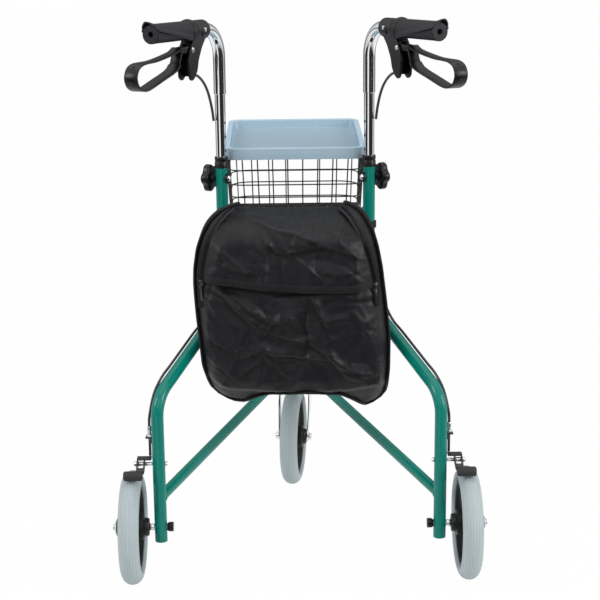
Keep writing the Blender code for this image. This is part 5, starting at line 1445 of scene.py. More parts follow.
    def make_screws(self) -> None:
        """The two heads and the shaft of the lever's pivot, and the clamp's screw."""
        s, z = self.pivot
        half = self.housing_half
        form = self.form()
        head = mm((0, -1), (4.6, -1), (4.6, 0.8), (3.6, 1.9), (1.6, 2.2), (1.4, 1), (0, 1))
        for way in (-1, 1):
            form.spin(head, 24, self.upright @ shift(s, way * half, z) @ turned(-way * pi / 2, "X"))
        small = mm((0, -1), (3.4, -1), (3.4, 1), (1.8, 1.6), (1.5, 0.6), (0, 0.6))
        place = shift(self.clamp_screw_at, -self.side.value * 0.0186, self.handle_z + 0.001)
        form.spin(small, 24, self.upright @ place @ turned(self.side.value * pi / 2, "X"))
        form.spin(rod(0.0028, -half, half), 16, self.upright @ shift(s, 0, z) @ turned(pi / 2, "X"))
        form.piece("housing_screws", "handle", ZINC)

    def make_lever(self) -> None:
        """The looped lever: a wide band bent back on itself, its tang, and two rivets in its end."""
        path = smooth_path([self.at(s, 0, z) for s, z in self.lever_loop], 5, ring=True)
        scales = []
        for point in path:
            s, _, z = self.upright.inverted() @ point
            upper = z > 0.900 and s < 0.285
            scales.append((0.80 + 0.20 * eased((s - 0.255) / 0.03) if upper else 1.0, 1.0))
        form = self.form()
        band = strip(self.lever_half * 2, self.lever_band, 0.0011)
        form.sweep(places_along(path, self.across, ring=True), band, ring=True, scales=scales)
        near, outline = self.lever_loop[0], []
        ends = ((self.pivot, 0.0075, 70, 9), ((near[0] + 0.001, near[1] - 0.004), 0.0046, -95, 7))
        for (s, z), radius, start, steps in ends:
            for turn in (radians(start + 165 * i / (steps - 1)) for i in range(steps)):
                outline.append(self.at(s + radius * cos(turn), -self.tang_half, z + radius * sin(turn)))
        tang = Form()
        tang.slab(outline, self.across * self.tang_half * 2)
        tang.soften(0.0008, 2, 60)
        form.take(tang)
        form.piece("looped_lever", "lever", PLASTIC, "brake_lever", 50)
        rivets = self.form()
        rivet = mm((0, 0), (2.1, 0), (2.1, 2), (1.6, 2.6), (1, 2.6), (0.8, 1.8), (0, 1.8))
        for s, z, lean in ((0.2975, 0.9045, 0.72), (0.3058, 0.8800, -0.35)):
            rivets.spin(rivet, 20, self.upright @ shift(s, 0, z) @ turned(pi / 2 - lean, "Y"))
        rivets.piece("lever_rivets", "lever", STEEL)


@dataclass
class Cables(Twin):
    """The brake cable of one side: from the lever into the stem, and from the upright to the brake."""

    radius: float = 0.0024
    above_run: float = 0.0100
    beside_run: float = 0.0108

    def build(self) -> None:
        self.lay("upper", self.upper_route(), "handle", 2, "loose")
        self.lay("lower", self.lower_route(), "frame", 3, "taut")

    def upper_route(self) -> list[Vector]:
        """From the housing's front edge down and into the stem's outer side."""
        points = mm(
            (101, 0, 879), (94.5, 0, 877.2), (78, 1, 872.5), (59, 2.5, 862), (42, 4, 847), (27.5, 6, 828),
            (16.5, 7.5, 806), (10.5, 8.5, 788),
        )
        return [self.upright @ Vector((r, self.side.value * n, z)) for r, n, z in points]

    def lower_route(self) -> list[Vector]:
        """From the hole in the upright, over the sloping run and down the leg to the brake arm."""
        u, leg, low, high = (
            self.layout.to_upright, self.layout.to_leg, self.layout.lower_bend, self.layout.upper_bend,
        )
        beside = self.layout.tube_radius + self.radius + 0.0003
        route = [
            (u, beside, 0.512), (u + 0.0010, beside, 0.503), (u + 0.006, 0.0152, 0.486), (u + 0.022, 0.0145, 0.463),
        ]
        run = Vector((leg - u, low - high))
        over = Vector((-run.y, run.x)).normalized() * self.above_run
        for share in (0.24, 0.40, 0.56, 0.72, 0.84):
            route.append((u + run.x * share + over.x, self.beside_run, high + run.y * share + over.y))
        route += [(leg - 0.016, 0.0142, low + 0.003), (leg - 0.002, 0.0158, low - 0.030)]
        across, forward = 0.0150, 0.0080
        s, c = sin(self.layout.splay), cos(self.layout.splay)
        for z in (0.288, 0.266, 0.2305):
            route.append((leg + across * s - forward * c, across * c + forward * s, z))
        return [self.place @ Vector((r, self.side.value * n, z)) for r, n, z in route]

    def lay(self, part: str, route: Sequence[Vector], body: str, steps: int, lay: str) -> None:
        """Lays one length of cable along its route."""
        side, fine = self.side.word, smooth_path(route, steps * 2)
        curve = wire_curve(f"{side}_{part}_sleeve", [(fine, False, 1.0)], self.radius, 4)
        made = place_piece(curve.name, curve, f"{side}_{body}", CABLE, f"{side}_{part}_cable")
        self.radius * 2


# Basket and tray


@dataclass
class Basket:
    """The wire basket: upright wires outside level rings, on a gridded floor, with its front hanger."""

    layout: Layout
    wire: float = 0.0012
    rim_wire: float = 0.0014
    foot_wire: float = 0.0014
    hanger_wire: float = 0.0017
    half_width: float = 0.1255
    depth: float = 0.190
    front_radius: float = 0.040
    rear_radius: float = 0.0279
    ring_z: Triple = (0.6925, 0.6655, 0.6423)
    floor_fall: float = 0.0388
    front_ring_z: float = 0.6141
    taper: float = 0.005
    rear_taper: float = 0.0015
    rear_bays: int = 7
    front_bays: int = 5
    side_bays: int = 4
    foot_half: float = 0.0065
    cap_top: float = 0.5696

    def build(self) -> None:
        """Bends and welds the wires."""
        self.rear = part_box("basket")[0].y + self.wire
        self.front = self.rear + self.depth
        self.middle = self.rear + self.depth / 2
        self.arm_slope = (self.layout.arm_ends[0] - self.layout.arm_ends[1]) / self.layout.to_upright
        self.corner = (self.half_width - self.taper - self.rear_radius, self.rear + self.rear_taper)
        self.floor_z = self.floor_level()
        wires: list[Wire] = [(self.ring(0.0, self.rim_height), True, self.rim_wire)]
        for i, z in enumerate(self.ring_z):
            wires.append((self.ring(self.taper * (i + 1) / 4, lambda _, z=z: z), True, self.wire))
        wires.append((self.ring(self.taper, self.floor_height), True, self.wire * 1.15))
        plain = [self.front_ring(), *[self.upright(x, y) for x, y in self.stations()], *self.floor_wires()]
        wires += [(path, False, self.wire) for path in plain]
        wires += [(self.foot(side), False, self.foot_wire) for side in Side]
        wires.append((self.hanger(), False, self.hanger_wire))
        place_piece("wire_basket", as_mesh(wire_curve("wire_basket", wires, 1.0, 2)), "basket", WIRE, "basket", 60)

    def arm_top(self, reach: float) -> float:
        """The height of an arm's top at a distance back from the hinge line."""
        return self.layout.arm_ends[1] + self.arm_slope * reach + self.layout.arm_radius * sqrt(1 + self.arm_slope**2)

    def floor_level(self) -> float:
        """The height of the floor's rear edge, clear of the arms wherever they swing."""
        x, y = self.corner
        reach = hypot(x - self.layout.half_gap, self.layout.hinge_y - y) + self.wire * 2
        return self.arm_top(reach) + 0.0018 + 0.0073

    def rim_height(self, y: float) -> float:
        """The height of the tilted rim at y."""
        return self.layout.rim_z + (y - self.rear + 0.0045) * tan(self.layout.tilt)

    def floor_height(self, y: float) -> float:
        """The height of the floor at y: it falls a little to the front."""
        return self.floor_z - self.floor_fall * (y - self.rear) / self.depth

    def ring(self, inset: float, height: Callable[[float], float]) -> list[Vector]:
        """One ring, at the height that goes with each y."""
        half, rear, front = self.half_width - inset, self.rear + inset * 0.3, self.front - inset
        middle = (rear + front) / 2
        rear_part = [(-half, middle, 0), (-half, rear, 0), (half, rear, 0), (half, middle, 0)]
        front_part = [(half, middle, 0), (half, front, 0), (-half, front, 0), (-half, middle, 0)]
        points = rounded(rear_part, self.rear_radius, 10) + rounded(front_part, self.front_radius, 12)[1:-1]
        return [Vector((point.x, point.y, height(point.y))) for point in points]

    def front_ring(self) -> list[Vector]:
        """The lowest ring, which runs round the front only, from floor to floor."""
        z, inset = self.front_ring_z, self.taper * 0.9
        start, half = self.rear + self.depth * (self.floor_z - z) / self.floor_fall, self.half_width - inset
        front = [point for point in self.ring(inset, lambda _: z) if point.y > start + 0.004]
        return [Vector((half, start, z)), *front, Vector((-half, start, z))]

    def stations(self) -> list[Pair]:
        """Where the upright wires stand round the rim."""
        half, rear, front, r = self.half_width, self.rear, self.front, self.front_radius
        places = []
        for y, bays, span in ((rear, self.rear_bays, half - self.rear_radius), (front, self.front_bays, half - r)):
            places += [(-span + 2 * span * k / bays, y) for k in range(bays + 1)]
        turn = radians(45)
        start, run = rear + self.rear_radius, self.depth - self.rear_radius - r
        for side in (-1, 1):
            places.append((side * (half - r + r * cos(turn)), front - r + r * sin(turn)))
            places += [(side * half, start + run * k / self.side_bays) for k in range(self.side_bays + 1)]
        return places

    def upright(self, x: float, y: float) -> list[Vector]:
        """One upright wire, from over the rim down to the floor ring."""
        top = Vector((x, y, self.rim_height(y)))
        foot_y = self.middle + (y - self.middle) * (1 - self.taper / self.depth * 1.4)
        lean = Vector((x * (1 - self.taper / self.half_width), foot_y, self.floor_height(foot_y)))
        out = Vector((x / self.half_width, (y - self.middle) / (self.depth / 2), 0))
        if abs(out.y) > 0.97:
            out = Vector((0, copysign(1, out.y), 0))
        elif y < self.front - self.front_radius:
            out = Vector((copysign(1, x), 0, 0))
        else:
            out.normalize()
        over = out * (self.wire * 1.6)
        under = Vector((0, 0, -0.0042 if y == self.rear else -self.wire * 1.2))
        return [top + over, lean + over * 0.9, lean - out * 0.004 + under]

    def floor_wires(self) -> list[list[Vector]]:
        """The crossed wires of the floor: one across its middle, and three from back to front."""
        half, rear, front = self.half_width - self.taper, self.rear + self.rear_taper, self.front - self.taper
        y = (rear + front) / 2
        wires = [[Vector((x, y, self.floor_height(y))) for x in (-half, half)]]
        for k in (-1, 0, 1):
            wires.append([Vector((half * 0.5 * k, y, self.floor_height(y) - self.wire * 2)) for y in (rear, front)])
        return wires

    def foot(self, side: Side) -> list[Vector]:
        """The bent wire under a rear corner, which stands on the arm."""
        (x, y), layout = self.corner, self.layout
        reach = (x - y - layout.half_gap + layout.hinge_y) / (sin(layout.splay) + cos(layout.splay))
        rest_z = self.arm_top(reach) + (self.foot_wire + 0.0003) * sqrt(1 + self.arm_slope**2)
        place = layout.side_place(side)
        middle = place @ Vector((reach, 0, 0))
        middle.z = self.floor_height(middle.y)
        spread = Vector((side.value, 1, 0)).normalized() * 0.0085
        bends = [place @ Vector((reach, side.value * n, rest_z)) for n in (-self.foot_half, self.foot_half)]
        return [middle - spread, *bends, middle + spread]

    def hanger(self) -> list[Vector]:
        """The bent wire from under the floor down to the steering head's cap."""
        front, head = self.front, self.layout.head_y
        z, over = self.floor_height(front - 0.004), self.cap_top + self.hanger_wire
        half = [
            (0.030, self.rear + self.depth * 0.70, z + 0.0042), (0.030, front - 0.004, z - 0.0005),
            (0.0285, front + (head - front) * 0.4, z + (over - z) * 0.4),
            (0.0225, head - 0.012, over + (z - over) * 0.1), (0.0105, head + 0.006, over),
        ]
        return smooth_path(half + [(-x, y, z) for x, y, z in reversed(half)], 6)


@dataclass
class Tray:
    """The moulded tray: a floor between steep walls, and a broad lip over a wall that hides the rim wire."""

    layout: Layout
    half_width: float = 0.130
    depth: float = 0.270
    height: float = 0.0212
    foot: float = 0.0034
    wall: float = 0.0022
    lip: float = 0.0095
    draft: float = 0.0035
    corner: float = 0.022

    def build(self) -> None:
        """Insets and drops one rounded face into a tray, and gives it its walls."""
        form = Form()
        bm = form.bm
        lip = form.layer("lip")
        size = Matrix.Diagonal((self.half_width * 2, self.depth, 1, 1))
        middle = shift(0, self.depth / 2, self.height - 0.0001)
        ops.create_grid(bm, x_segments=1, y_segments=1, size=0.5, matrix=middle @ size)
        form.bevel(bm.verts[:], self.corner, 14, "VERTICES")
        floor = bm.faces[:][0]
        if floor.normal.z < 0:
            floor.normal_flip()
        border = [e for e in bm.edges if e.is_boundary]
        for drop in (0.06, 0.38, 0.56):
            down = ops.extrude_edge_only(bm, edges=border)["geom"]
            verts = [v for v in down if isinstance(v, BMVert)]
            ops.translate(bm, vec=(0, 0, -drop * (self.height - 0.0004)), verts=verts)
            border = [e for e in down if isinstance(e, BMEdge) and e.is_boundary]
        fall = self.height - self.foot - self.wall - 0.001
        steps = (
            (self.lip * 0.5, 0.0), (self.lip * 0.5, 0.0), (0.0003, 0.0012), (self.draft - 0.0003, fall - 0.0012),
            (0.0016, 0.0010), (0.004, 0.0001),
        )
        for width, drop in steps:
            ops.inset_region(bm, faces=[floor], thickness=width, depth=-drop, use_even_offset=True)
        ops.recalc_face_normals(bm, faces=bm.faces)
        if floor.normal.z < 0:
            ops.reverse_faces(bm, faces=bm.faces)
        # Marks the lip's top for its painted highlight.
        for vert in bm.verts:
            vert[lip] = 1.0 if vert.co.z > self.height - 0.0008 else 0.0
        seat = (0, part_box("basket")[0].y + 0.0012 - 0.0045, self.layout.rim_z + 0.0012 + 0.0009 - self.foot)
        form.move(shift(*seat) @ turned(self.layout.tilt, "X"))
        made = place_piece("moulded_tray", form.mesh("moulded_tray"), "tray", TRAY, "tray", 40)
        shell = made.modifiers.new("wall", "SOLIDIFY")
        shell.thickness, shell.offset, shell.use_even_offset = self.wall * 0.9, -1.0, True
        edges = made.modifiers.new("edges", "BEVEL")
        edges.width, edges.segments, edges.limit_method, edges.angle_limit = 0.0011, 3, "ANGLE", radians(28)


# Bag


def crumple(points: Sequence[Triple], border: Sequence[Pair]) -> BVHTree:
    """A faceted sheet through points of (across, up, proud), flat at its border.

    Args:
        points: The crease points.
        border: Points round the sheet that stay where they are.

    Returns:
        A tree of the facets, to be met along Y.
    """
    heights = [*points, *[(x, z, 0.0) for x, z in border]]
    flat = [Vector((x, z)) for x, z, _ in heights]
    made = delaunay_2d_cdt(flat, [], [], 0, 1e-5)
    origin = [source[0] for source in made[3]]
    verts = [Vector((point.x, -heights[i][2], point.y)) for point, i in zip(made[0], origin)]
    return BVHTree.FromPolygons(verts, made[2])


@dataclass
class Bag:
    """The zip bag: a slack lofted shell with a crumpled front, a hanging flap, bound edges and zips.

    Places on its front are given as (across, up) in the plane of the front, as seen from behind
    the rollator. Above roll_z the front rolls back over the bag's mouth.
    """

    layout: Layout
    front_y: float = 0.066
    depth: float = 0.145
    roll_z: float = 0.585
    roll_rise: float = 0.047
    view_slope: float = 0.2013
    low_view_slope: float = 0.325
    view_distance: float = 2.36
    keep: float = 0.15
    left_edge: tuple[Pair, ...] = mm(
        (304, -118), (312, -140), (326, -154), (368, -168), (462, -176.5), (518, -180), (545, -179), (580, -173.5),
        (608, -163.5), (628, -152.5), (642, -140.5), (651, -128.5), (657, -116.5), (663.5, -100),
    )
    right_edge: tuple[Pair, ...] = mm(
        (294, 132), (302, 149), (316, 157), (360, 160.5), (416, 161), (472, 155.5), (541, 147.5), (580, 140),
        (615, 129.5), (638, 118.5), (650, 107.5), (658, 96.5), (663.5, 86),
    )
    bottom: tuple[Pair, ...] = mm(
        (-160, 326), (-150, 311), (-135, 302), (-118, 300), (-95, 305), (-72, 317), (-50, 323), (20, 322), (75, 319),
        (98, 307), (118, 294), (134, 290), (148, 297), (160, 316),
    )
    panel_hem: tuple[Pair, ...] = mm(
        (-170, 360), (-155, 345), (-135, 335), (-117, 331), (-59, 326.5), (23, 322), (83, 325), (110, 331),
        (135, 335), (150, 330), (165, 330),
    )
    back: tuple[Pair, ...] = ((0.0, 1.0), (0.36, 1.0), (0.72, 0.78), (0.93, 0.42), (1.0, 0.30))
    roll_back: tuple[Pair, ...] = ((0.0, 1.0), (0.72, 1.0), (0.90, 0.94), (1.0, 0.84))
    hump_rise: float = 0.012
    flap_left: tuple[Pair, ...] = mm(
        (500, -162), (529, -163.5), (545, -162.5), (575, -157), (600, -149), (625, -135), (642, -119), (660, -98),
    )
    flap_right: tuple[Pair, ...] = mm(
        (500, 131), (525, 130.5), (555, 124), (590, 113.5), (615, 102.5), (634, 90.5), (650, 76), (660, 67),
    )
    flap_hem: tuple[Pair, ...] = mm(
        (-165, 529), (-120, 524), (-60, 516.5), (-18, 512), (40, 508.5), (90, 509), (130, 514),
    )
    crumple_depth: float = 1.5
    crease_sets: tuple[Triple, ...] = (
        (0.60, 13.0, 0.0030), (-0.55, 17.0, 0.0024), (1.35, 24.0, -0.0018), (-0.15, 34.0, 0.0011),
    )
    body_creases: tuple[Triple, ...] = mm(
        (-133, 510, 5), (-99, 481, 7), (-70, 443, 6), (-105, 506, 1), (-56, 475, 2), (-57, 433, 4), (-22, 465, 4),
        (-91, 500, 1), (-8, 505, 0), (27, 501, 4), (36, 460, 5), (64, 385, 8), (21, 480, 2), (17, 444, 0),
        (19, 408, 3), (-19, 463, 5), (-1, 435, 2), (-49, 436, 3), (-33, 426, 2), (-101, 389, 3), (-68, 403, 5),
        (-36, 381, 1), (7, 379, 0), (58, 378, 3), (-20, 399, 5), (23, 397, 6), (-66, 394, 4), (-45, 370, 1),
        (88, 364, 5), (115, 347, 7), (140, 330, 4), (99, 403, 2), (129, 431, 4), (102, 478, 1), (75, 498, 3),
        (-160, 432, 5), (-145, 367, 4), (-158, 482, 3), (-119, 431, 2), (-120, 361, 4), (-42, 343, 3), (7, 348, 4),
        (47, 345, 2), (-80, 341, 1), (123, 375, 3), (115, 459, 4),
    )
    body_folds: tuple[Fold, ...] = mm(
        (5, ((-147, 509), (-130, 503), (-101, 472), (-73, 446))),
        (3.5, ((-116, 508), (-85, 478), (-60, 462), (-40, 455))),
        (3.6, ((21, 503), (38, 468), (56, 441))),
        (4.5, ((18, 480), (16, 446), (25, 415))),
        (4.5, ((21, 416), (47, 398), (69, 371), (117, 358))),
        (4.8, ((-102, 392), (-62, 410), (-45, 397), (56, 387))),
        (4, ((-67, 407), (-56, 390), (-44, 375))),
        (3.8, ((-58, 432), (-45, 454), (-14, 463), (3, 441))),
        (3, ((-45, 434), (-15, 424), (17, 415))),
        (3.6, ((-163, 432), (-141, 415), (-120, 404))),
        (4, ((-163, 389), (-128, 371), (-115, 353))),
        (3.2, ((-110, 353), (-67, 389))),
        (3, ((-40, 383), (-31, 362), (-10, 352))),
        (3.4, ((70, 372), (87, 352), (122, 346))),
        (2.6, ((90, 480), (112, 452), (120, 420))),
    )
    flap_folds: tuple[Fold, ...] = mm(
        (4.2, ((-74, 627), (-45, 612), (8, 599), (56, 586))),
        (3.4, ((-58, 599), (-36, 581), (-23, 578))),
        (3, ((-23, 577), (-25, 552), (-24, 533))),
        (3.6, ((-23, 578), (8, 584), (47, 589), (91, 577), (112, 566))),
        (2.6, ((0, 634), (6, 648))),
        (2.6, ((-110, 643), (-58, 638), (-20, 630))),
        (2.8, ((-130, 560), (-95, 548), (-60, 545))),
        (2.6, ((30, 548), (70, 540), (105, 546))),
    )
    flap_creases: tuple[Triple, ...] = mm(
        (-100, 636, 1), (-34, 584, 0), (-20, 578, 0), (-60, 604, 1), (-83, 629, 3), (-2, 604, 5), (112, 566, 3),
        (77, 580, 1), (25, 580, 0), (-22, 555, 2), (-23, 527, 3), (-2, 566, 3), (-124, 557, 4), (-142, 573, 3),
        (-97, 594, 5), (-66, 556, 3), (35, 544, 3), (75, 532, 4), (1, 652, 1), (2, 625, 2), (62, 616, 3),
        (83, 640, 1), (-54, 645, 2), (-98, 529, 2), (35, 519, 3), (101, 532, 3),
    )
    top: float = 0.6635
    flap_top: float = 0.6558
    saddle: float = 0.0092
    low_fall: float = 0.014
    fold_margin: float = 0.017
    zip_ends: Pair = (0.652, 0.478)
    tooth_pitch: float = 0.0018
    strap_z: float = 0.59375

    def build(self) -> None:
        """Makes the bag's pieces and gives each its own mesh."""
        self.near = self.layout.axle_y + self.front_y
        body_border = self.border(self.left_edge, self.right_edge, 0.30, 0.67)
        flap_border = self.border(self.flap_left, self.flap_right, 0.49, 0.67)
        self.body = (crumple(self.body_creases, body_border), self.body_folds)
        self.flap = (crumple(self.flap_creases, flap_border), self.flap_folds)
        pieces = [self.make_shell(), *self.make_flap(), self.make_binding()]
        for side in Side:
            pieces += self.make_zip(side)
            self.make_strap(side)
        for piece in pieces:
            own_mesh(piece)

    @staticmethod
    def border(left: Sequence[Pair], right: Sequence[Pair], low: float, high: float) -> list[Pair]:
        """Points round a panel, a little outside it."""
        levels = [low + (high - low) * k / 9 for k in range(10)]
        sides = [(table(edge, z) + out, z) for edge, out in ((left, -0.004), (right, 0.004)) for z in levels]
        rows = [(-0.15 + 0.3 * k / 8, z) for k in range(9) for z in (low - 0.01, high + 0.01)]
        return sides + rows

    def surface(self, x: float, up: float, proud: float = 0.0) -> Vector:
        """The place on the smooth front for (across, up), standing proud of it by a distance."""
        left, right = table(self.left_edge, up), table(self.right_edge, up)
        share = min(1.0, abs(2 * (x - left) / (right - left) - 1))
        side_fall = 0.030 * share**9
        if up <= self.roll_z:
            low = eased((up - 0.30) / 0.05)
            return Vector((x, self.near + side_fall + self.low_fall * (1 - low) - proud, up))
        roll = self.depth * table(self.roll_back, share) - 0.006 - side_fall
        rise = self.roll_rise + self.hump_rise * eased((share - 0.70) / 0.24)
        turn, low, high = 0.0, 0.0, pi / 2
        for _ in range(22):
            turn = (low + high) / 2
            reach = self.roll_z + rise * sin(turn) + self.view_slope * roll * (1 - cos(turn))
            low, high = (turn, high) if reach < up else (low, turn)
        y = roll * (1 - cos(turn))
        z = self.roll_z + rise * sin(turn)
        out = Vector((0, -cos(turn) * rise, sin(turn) * roll)).normalized()
        return Vector((x * (1 + y / self.view_distance), self.near + side_fall + y, z)) + out * proud

    def way_out(self, x: float, up: float) -> Vector:
        """A step of 20 mm out of the smooth front."""
        return self.surface(x, up, 0.02) - self.surface(x, up, 0.0)

    def folded(self, folds: Sequence[Fold], x: float, up: float) -> Pair:
        """What the sharp folds do at a place: each rises slowly from above and falls steeply below its line.

        Args:
            folds: The height and the line of each fold.
            x: The place across.
            up: The place up.

        Returns:
            How far the place is raised, and its painted light and shade: below 0 for a painted highlight, with rubbing,
            on a crest, above 0 for painted shade under one.
        """
        total, tint, margin = 0.0, 0.0, self.fold_margin
        for height, line in folds:
            across_line, up_line = zip(*line)
            if not min(across_line) - margin < x < max(across_line) + margin:
                continue
            if not min(up_line) - margin < up < max(up_line) + margin:
                continue
            nearest, above = 1.0, True
            for (x0, z0), (x1, z1) in pairwise(line):
                run, climb = x1 - x0, z1 - z0
                share = held(((x - x0) * run + (up - z0) * climb) / (run * run + climb * climb))
                across, rise = x - x0 - run * share, up - z0 - climb * share
                if hypot(across, rise) < nearest:
                    nearest, above = hypot(across, rise), run * rise > climb * across
            end = min(hypot(x - line[i][0], up - line[i][1]) for i in (0, -1))
            reach, fade = 0.016 if above else 0.0055, min(1.0, 0.25 + end / 0.020)
            total += height * max(0.0, 1 - nearest / reach) ** 1.3 * fade
            strength = fade * height / 0.0045
            # Painted highlight, with rubbing, along the fold's crest.
            tint -= strength * max(0.0, 1 - nearest / 0.0026)
            # Painted shade in the strip just below the fold.
            if not above:
                tint += strength * 0.9 * eased(nearest / 0.003) * max(0.0, 1 - nearest / 0.013)
        return total, tint

    def facet(self, cloth: tuple[BVHTree, Sequence[Fold]], x: float, up: float) -> float:
        """How proud the crumpled cloth stands at a place, with a little unevenness of its own."""
        facets, folds = cloth
        hit = facets.ray_cast(Vector((x, 1.0, up)), Vector((0, -1, 0)))[0]
        height = -hit.y if hit else 0.0
        total = height * self.crumple_depth + noise.noise(Vector((x * 22, up * 26, 7.7))) * 0.0014
        total += self.folded(folds, x, up)[0]
        for turn, pitch, depth in self.crease_sets:
            along = (x * cos(turn) + up * sin(turn)) * pitch
            across = (up * cos(turn) - x * sin(turn)) * pitch * 0.45
            ridge = 1.0 - min(1.0, abs(noise.noise(Vector((along, across, pitch)))) * 5.0)
            total += depth * ridge ** 1.4
        return total

    @staticmethod
    def settle(form: Form, verts: Sequence[BMVert], factor: float) -> None:
        """Evens out the depth of the vertices that aren't on an edge of the cloth."""
        inner = [vert for vert in verts if not vert.is_boundary]
        ops.smooth_vert(form.bm, verts=inner, factor=factor, use_axis_x=False, use_axis_y=True, use_axis_z=False)

    def make_shell(self) -> bpy.types.Object:
        """The closed body: a front and a back grid, joined by the gusset."""
        form = Form()
        tint = form.layer("tint")
        loops = []
        for is_front, shape in ((True, self.front_point), (False, self.back_point)):
            before = set(form.bm.verts)
            ops.create_grid(form.bm, x_segments=150, y_segments=130, size=0.5)
            fresh = form.fresh(before)
            for vert in fresh:
                vert.co = shape(vert.co.x * 2, vert.co.y + 0.5)
                # Painted shade: darker below the panel's hem and under the folds, lighter on the crests; the back grid
                # is painted darker all over.
                low = eased((table(self.panel_hem, vert.co.x) - vert.co.z) / 0.006)
                vert[tint] = low + self.folded(self.body_folds, vert.co.x, vert.co.z)[1] if is_front else 0.6
            loops += [edge for edge in {edge for vert in fresh for edge in vert.link_edges} if edge.is_boundary]
            if is_front:
                self.settle(form, fresh, 0.2)
        ops.bridge_loops(form.bm, edges=loops)
        return form.piece("bag_shell", "head", NYLON, "bag", 70)

    def front_point(self, across: float, rise: float) -> Vector:
        """A vertex of the front grid."""
        up = 0.32 + (self.top - 0.32) * rise
        for _ in range(3):
            left, right = table(self.left_edge, up), table(self.right_edge, up)
            x = (left + right) / 2 + (right - left) / 2 * across
            floor = table(self.bottom, x)
            limit = self.top - self.saddle * (1 - abs(across) ** 7)
            up = floor + (limit - floor) * rise
        hem = table(self.panel_hem, x)
        edge = eased((1 - abs(across)) / 0.10)
        proud = (self.facet(self.body, x, up) + 0.006 * (1 - across**2) * sin(pi * min(1, rise))) * edge
        proud -= 0.007 * eased((up - 0.492) / 0.03) * eased((0.60 - up) / 0.02)
        if up > self.roll_z:
            proud *= 0.4
        point = self.surface(x, up, proud)
        if up < hem:
            back = 0.014 * eased((hem - up) / 0.003) + (hem - up) * 1.1
            point += Vector((point.x * back / self.view_distance, back, -self.low_view_slope * back))
        return point

    def back_point(self, across: float, rise: float) -> Vector:
        """A vertex of the back grid."""
        front = self.front_point(across * 0.985, rise)
        up = min(front.z, 0.632)
        deep = self.depth * (0.55 + 0.45 * eased((up - 0.295) / 0.06))
        y = self.near + deep * table(self.back, abs(across))
        wave = noise.noise(Vector((front.x * 18, up * 20, 1.3))) * 0.0030 * (1 - abs(across) ** 3)
        return Vector((front.x, max(y + wave, front.y + 0.002), up))

    def flap_place(self, across: float, rise: float) -> Triple:
        """Where a point of the flap is: across at its hem, across at its own height, and up."""
        left, right = table(self.flap_left, 0.52), table(self.flap_right, 0.52)
        hem_x = left + (right - left) * across
        hem = table(self.flap_hem, hem_x)
        up = hem + (self.flap_top - hem) * rise
        left, right = table(self.flap_left, up), table(self.flap_right, up)
        return hem_x, left + (right - left) * across, up

    def flap_point(self, across: float, rise: float, extra: float = 0.0) -> tuple[Vector, Vector]:
        """A point of the flap, and the way out of it."""
        hem_x, x, up = self.flap_place(across, rise)
        free = (1 - rise) ** 1.6
        edge = eased(min(across, 1 - across) / 0.09)
        crease = self.facet(self.flap, x, up) * (0.35 + 0.65 * edge) * (1.0 if up < 0.63 else 0.5)
        ripple = 0.0016 * sin(hem_x * 75 + 0.6) * free * edge
        proud = 0.0035 + free * (0.004 + 0.0065 * edge) + crease + ripple + extra
        return self.surface(x, up, proud), self.way_out(x, up).normalized()

    def make_flap(self) -> list[bpy.types.Object]:
        """The flap: one sheet that hangs from the bag's mouth over its front, with its tape and stitches."""
        form = Form()
        tint = form.layer("tint")
        ops.create_grid(form.bm, x_segments=130, y_segments=84, size=0.5)
        for vert in form.bm.verts:
            across, rise = vert.co.x + 0.5, vert.co.y + 0.5
            vert.co = self.flap_point(across, rise)[0]
            _, x, up = self.flap_place(across, rise)
            # Painted light and shade along the folds, and painted shade over the flap's rolled top above 0.59 m.
            vert[tint] = self.folded(self.flap_folds, x, up)[1] + 0.35 * eased((up - 0.59) / 0.03)
        self.settle(form, form.bm.verts, 0.5)
        ops.recalc_face_normals(form.bm, faces=form.bm.faces)
        if min(form.bm.faces, key=lambda face: face.calc_center_median().y).normal.y > 0:
            ops.reverse_faces(form.bm, faces=form.bm.faces)
        area = sum(face.calc_area() for face in form.bm.faces)
        flap = form.piece("bag_flap", "head", NYLON, sharper=70)
        cloth = flap.modifiers.new("cloth", "SOLIDIFY")
        cloth.thickness, cloth.offset = 0.0012, -1.0
        tape, thread = self.make_hem_tape(), self.make_stitches()
        return [flap, tape, thread]

    @staticmethod
    def band(form: Form, points: Sequence[Vector], outs: Sequence[Vector], width: float, thickness: float) -> None:
        """A flat band along points, lying with its face towards outs."""
        across = []
        for i, out in enumerate(outs):
            along = points[min(i + 1, len(points) - 1)] - points[max(i - 1, 0)]
            across.append(along.cross(out).normalized())
        form.sweep(places_along(points, across), strip(width, thickness, min(width, thickness) * 0.3))

    def make_hem_tape(self) -> bpy.types.Object:
        """The tape that binds the flap's lower edge."""
        form = Form()
        points, outs = zip(*[self.flap_point(0.005 + 0.99 * i / 90, 0.036, 0.0008) for i in range(91)])
        self.band(form, points, outs, 0.0135, 0.0016)
        return form.piece("flap_hem_tape", "head", TAPE, sharper=60)

    def make_stitches(self) -> bpy.types.Object:
        """The row of stitches over the flap's tape."""
        form = Form()
        path = [self.flap_point(0.01 + 0.98 * i / 260, 0.078, 0.0009) for i in range(261)]
        for (a, out), (b, _) in list(pairwise(path))[::2]:
            along = (b - a).normalized()
            place = axes(along, along.cross(out).normalized(), out, (a + b) / 2)
            form.block(((b - a).length * 1.25, 0.0005, 0.0004), place)
        return form.piece("flap_stitches", "head", TAPE)

